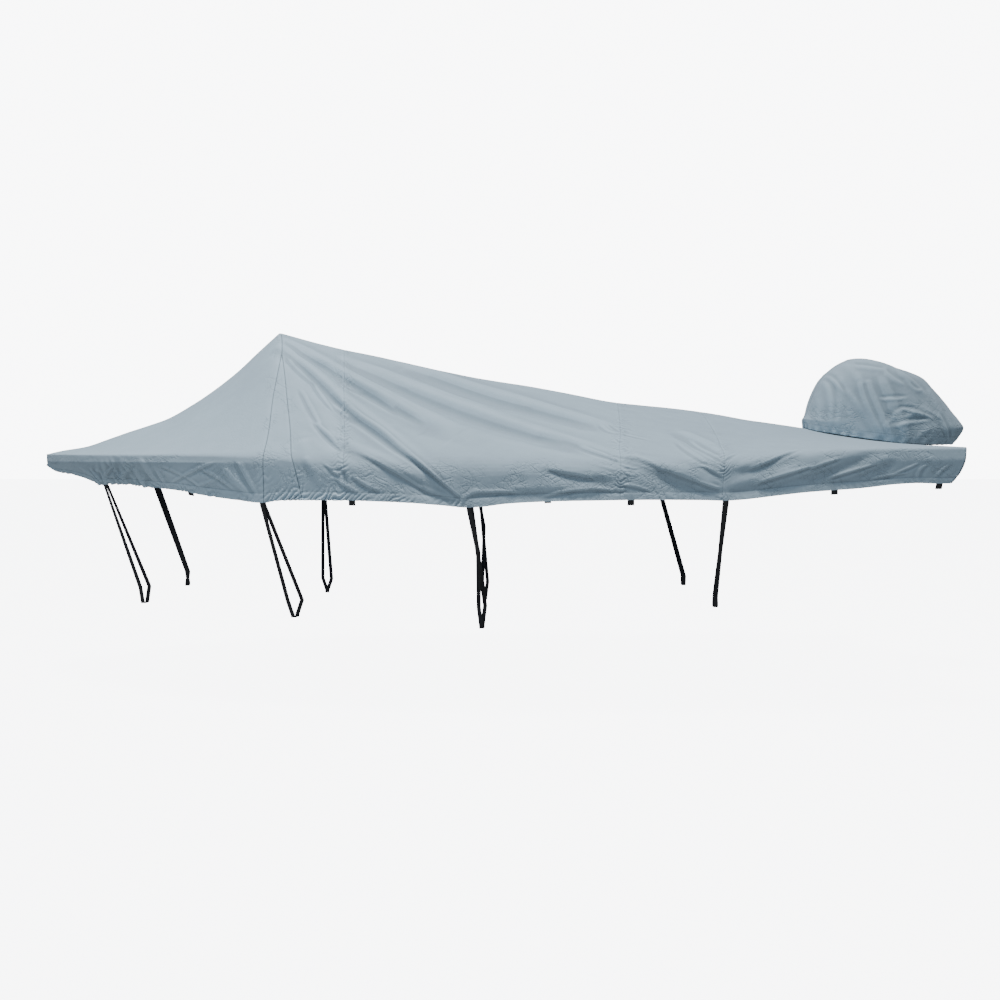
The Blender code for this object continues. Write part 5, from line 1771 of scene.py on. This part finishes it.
def cloth_tone(tree, place, along, seam_gap, hem_gap, panel_light, on_side):
    """Mottle times painted shade in creases, painted light on the hem strip and skirt, painted
    shadow lines at the hem and seams, the piece's painted light, and the painted rear shade.
    """
    tone = place_group(tree, MOTTLE, Place=place, Strength=MOTTLE_STRENGTH)["Factor"]
    # painted shadow line just above the hem strip
    off = wire(tree, "ABSOLUTE", wire(tree, "SUBTRACT", hem_gap, HEM_SHADOW_UP))
    line = wire(tree, "MAXIMUM", wire(tree, "MULTIPLY_ADD", off, -1 / HEM_SHADOW_HALF, 1.0), 0.0)
    # painted light: paler towards the hem
    dust_and_painted_light = ramp(tree, hem_gap, *PAINTED_LIGHT_HEIGHT)
    dust_and_painted_light = wire(tree, "MULTIPLY", dust_and_painted_light, skirt_painted_light(tree, along) if on_side else REAR_FOOT_PAINTED_LIGHT)
    factors = [ramp(tree, attribute(tree, "hollow"), *CREASE_PAINTED_SHADE),
               ramp(tree, hem_gap, *HEM_STRIP_PAINTED_LIGHT), wire(tree, "MULTIPLY_ADD", line, -HEM_SHADOW_LINE, 1.0),
               wire(tree, "ADD", dust_and_painted_light, 1.0), ramp(tree, seam_gap, *SEAM_PAINTED_SHADE), panel_light]
    # painted shade towards the rear of the hood and stern panel
    if not on_side:
        factors.append(ramp(tree, split(tree, place)[0], *REAR_PAINTED_SHADE))
    for factor in factors:
        tone = wire(tree, "MULTIPLY", tone, factor)
    return tone


print("the skirt is at most", BOW_SKIRT_PAINTED_LIGHT[3], "paler than the slope")

# %% Relief of the cloth
WEAVE_PITCH = 0.0009
WEAVE_DEPTH = 0.00004
LUMP_SCALE = 42.0             # lumps per metre
LUMP_HEIGHT = 0.0011
# angle from the cover's length, lines per metre, depth
WRINKLE_SETS = [(0.75, 7.0, 0.0022), (-0.45, 9.0, 0.0018), (1.35, 12.0, 0.0012)]
HEM_SLACK = (0.16, 0.34, 1.0, 0.10)        # wrinkles over the height above the hem
SEAM_SLACK = (0.015, 0.11, 0.85, 0.0)      # and over the distance from a seam


def cloth_height(tree, place, flat, seam_gap, hem_gap):
    """The sum of weave and lumps, less the wrinkles, which lie where the cloth is slack."""
    weave = place_group(tree, WEAVE, Place=flat, Pitch=WEAVE_PITCH, Depth=WEAVE_DEPTH)["Height"]
    lumps = wire(tree, "MULTIPLY", grain(tree, place, LUMP_SCALE, 3.0), LUMP_HEIGHT)
    height = wire(tree, "ADD", weave, lumps)
    slack = wire(tree, "MAXIMUM", ramp(tree, hem_gap, *HEM_SLACK),
                 ramp(tree, seam_gap, *SEAM_SLACK))
    for angle, scale, depth in WRINKLE_SETS:
        lines = place_group(tree, WRINKLES, Place=flat, Angle=angle, Scale=scale)["Depth"]
        lines = wire(tree, "MULTIPLY", lines, slack)
        height = wire(tree, "MULTIPLY_ADD", lines, -depth, height)
    return height


print("sets of fine wrinkles:", len(WRINKLE_SETS))

# %% Cloth
CLOTH_COLOUR = (0.368, 0.468, 0.542)
CLOTH_SETTINGS = {"Roughness": 0.82, "Specular IOR Level": 0.30, "Sheen Weight": 0.12,
                  "Sheen Roughness": 0.45}
SEAM_ROWS = (0.0042, 0.0100)  # distance of each row of stitches from the seam
HEM_ROWS = (0.0050, 0.0400)   # and from the hem
STITCH = 0.0042               # length of a stitch with its gap
THREAD_GAIN = 0.22            # how much lighter thread is than cloth
THREAD_SUNK = 0.0003          # how deep it is pulled in


def make_cloth(name, panel_light, on_side):
    """Cloth finish, with this piece's painted light as its brightness; the sides' skirt is painted
    lighter.
    """
    paint, place, flat = new_finish(name, "cloth", CLOTH_SETTINGS)
    tree = paint.node_tree
    along, down = split(tree, flat)[:2]
    seam_gap, hem_gap = attribute(tree, "seam_gap"), attribute(tree, "hem_gap")
    tone = cloth_tone(tree, place, along, seam_gap, hem_gap, panel_light, on_side)
    height = cloth_height(tree, place, flat, seam_gap, hem_gap)
    rows = [(seam_gap, down, offset) for offset in SEAM_ROWS]
    rows += [(hem_gap, along, offset) for offset in HEM_ROWS]
    for gap, run, offset in rows:
        thread = place_group(tree, STITCHES, Gap=gap, Along=run, Offset=offset,
                             Dash=STITCH)["Thread"]
        tone = wire(tree, "MULTIPLY", tone, wire(tree, "MULTIPLY_ADD", thread, THREAD_GAIN, 1.0))
        height = wire(tree, "MULTIPLY_ADD", thread, -THREAD_SUNK, height)
    colour = tree.nodes.new("ShaderNodeVectorMath")
    colour.operation = "SCALE"
    colour.inputs[0].default_value = CLOTH_COLOUR
    tree.links.new(tone, colour.inputs["Scale"])
    give(tree, colour.outputs[0], height)
    return paint


# painted light: each piece's brightness, higher at the bow and lower aft as the light falls on it;
# the hood is darker
PAINTED_PANEL_LIGHT = {"bow_panel": 1.06, "fore_panel": 1.01, "mid_panel": 0.94, "aft_panel": 0.90,
          "stern_panel": 0.90, "gusset_port": 1.06, "gusset_starboard": 1.06,
          "transom_panel": 0.94, "motor_hood": 0.80}
for piece, node, *_ in SHEETS:
    on_side = node not in ("transom_panel", "motor_hood")
    piece.data.materials.append(make_cloth(node + "_cloth", PAINTED_PANEL_LIGHT[node], on_side))
print("cloth finishes:", len(SHEETS))

# %% [markdown]
# The webbing is black polypropylene with a twill of slanting ribs, which wear a little paler
# and smoother on top. Dust lies over it as a faint grey.

# %% Webbing finish
RIB_PITCH = 0.0021
RIB_SLANT = 0.8               # run of a rib along the webbing for each step across
RIB_DEPTH = 0.00012
RIB_TONE = (0.0035, 0.0125)   # change of brightness over a rib, and its mean
RIB_ROUGHNESS = (-0.07, 0.58)
WEBBING_DUST = 0.010
WEBBING_TINT = (0.96, 0.98, 1.08)


def make_webbing(name):
    """Slanting ribs, worn a little paler on top: a sine of the run plus a part of the width."""
    paint, place, flat = new_finish(name, "webbing", {"Specular IOR Level": 0.4})
    tree = paint.node_tree
    across, run = split(tree, flat)[:2]
    slant = wire(tree, "MULTIPLY_ADD", wire(tree, "ABSOLUTE", across), RIB_SLANT, run)
    ribs = wire(tree, "SINE", wire(tree, "MULTIPLY", slant, 2 * math.pi / RIB_PITCH))
    dust_and_painted_light = wire(tree, "MULTIPLY", grain(tree, place, 55.0, 4.0), WEBBING_DUST)
    value = wire(tree, "ADD", wire(tree, "MULTIPLY_ADD", ribs, *RIB_TONE), dust_and_painted_light)
    colour = tree.nodes.new("ShaderNodeCombineColor")
    for socket, gain in zip(colour.inputs, WEBBING_TINT):
        tree.links.new(wire(tree, "MULTIPLY", value, gain), socket)
    rough = wire(tree, "MULTIPLY_ADD", ribs, *RIB_ROUGHNESS)
    tree.links.new(rough, tree.nodes["Principled BSDF"].inputs["Roughness"])
    give(tree, colour.outputs[0], wire(tree, "MULTIPLY", ribs, RIB_DEPTH))
    return paint


WEBBING_PAINT = make_webbing("black_webbing")
for piece, _ in WEBBING:
    piece.data.materials.append(WEBBING_PAINT)
print("webbing pieces:", len(WEBBING))

# %% [markdown]
# ## What each piece stands for
# Every piece rides on the one body and replaces its solid.

# %% Pieces on the body
for piece, node, size, area, held in SHEETS:
    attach(piece, "root")
    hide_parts(node)
for piece, node in WEBBING:
    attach(piece, "root")
    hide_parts(node)
print("pieces:", len(SHEETS) + len(WEBBING))
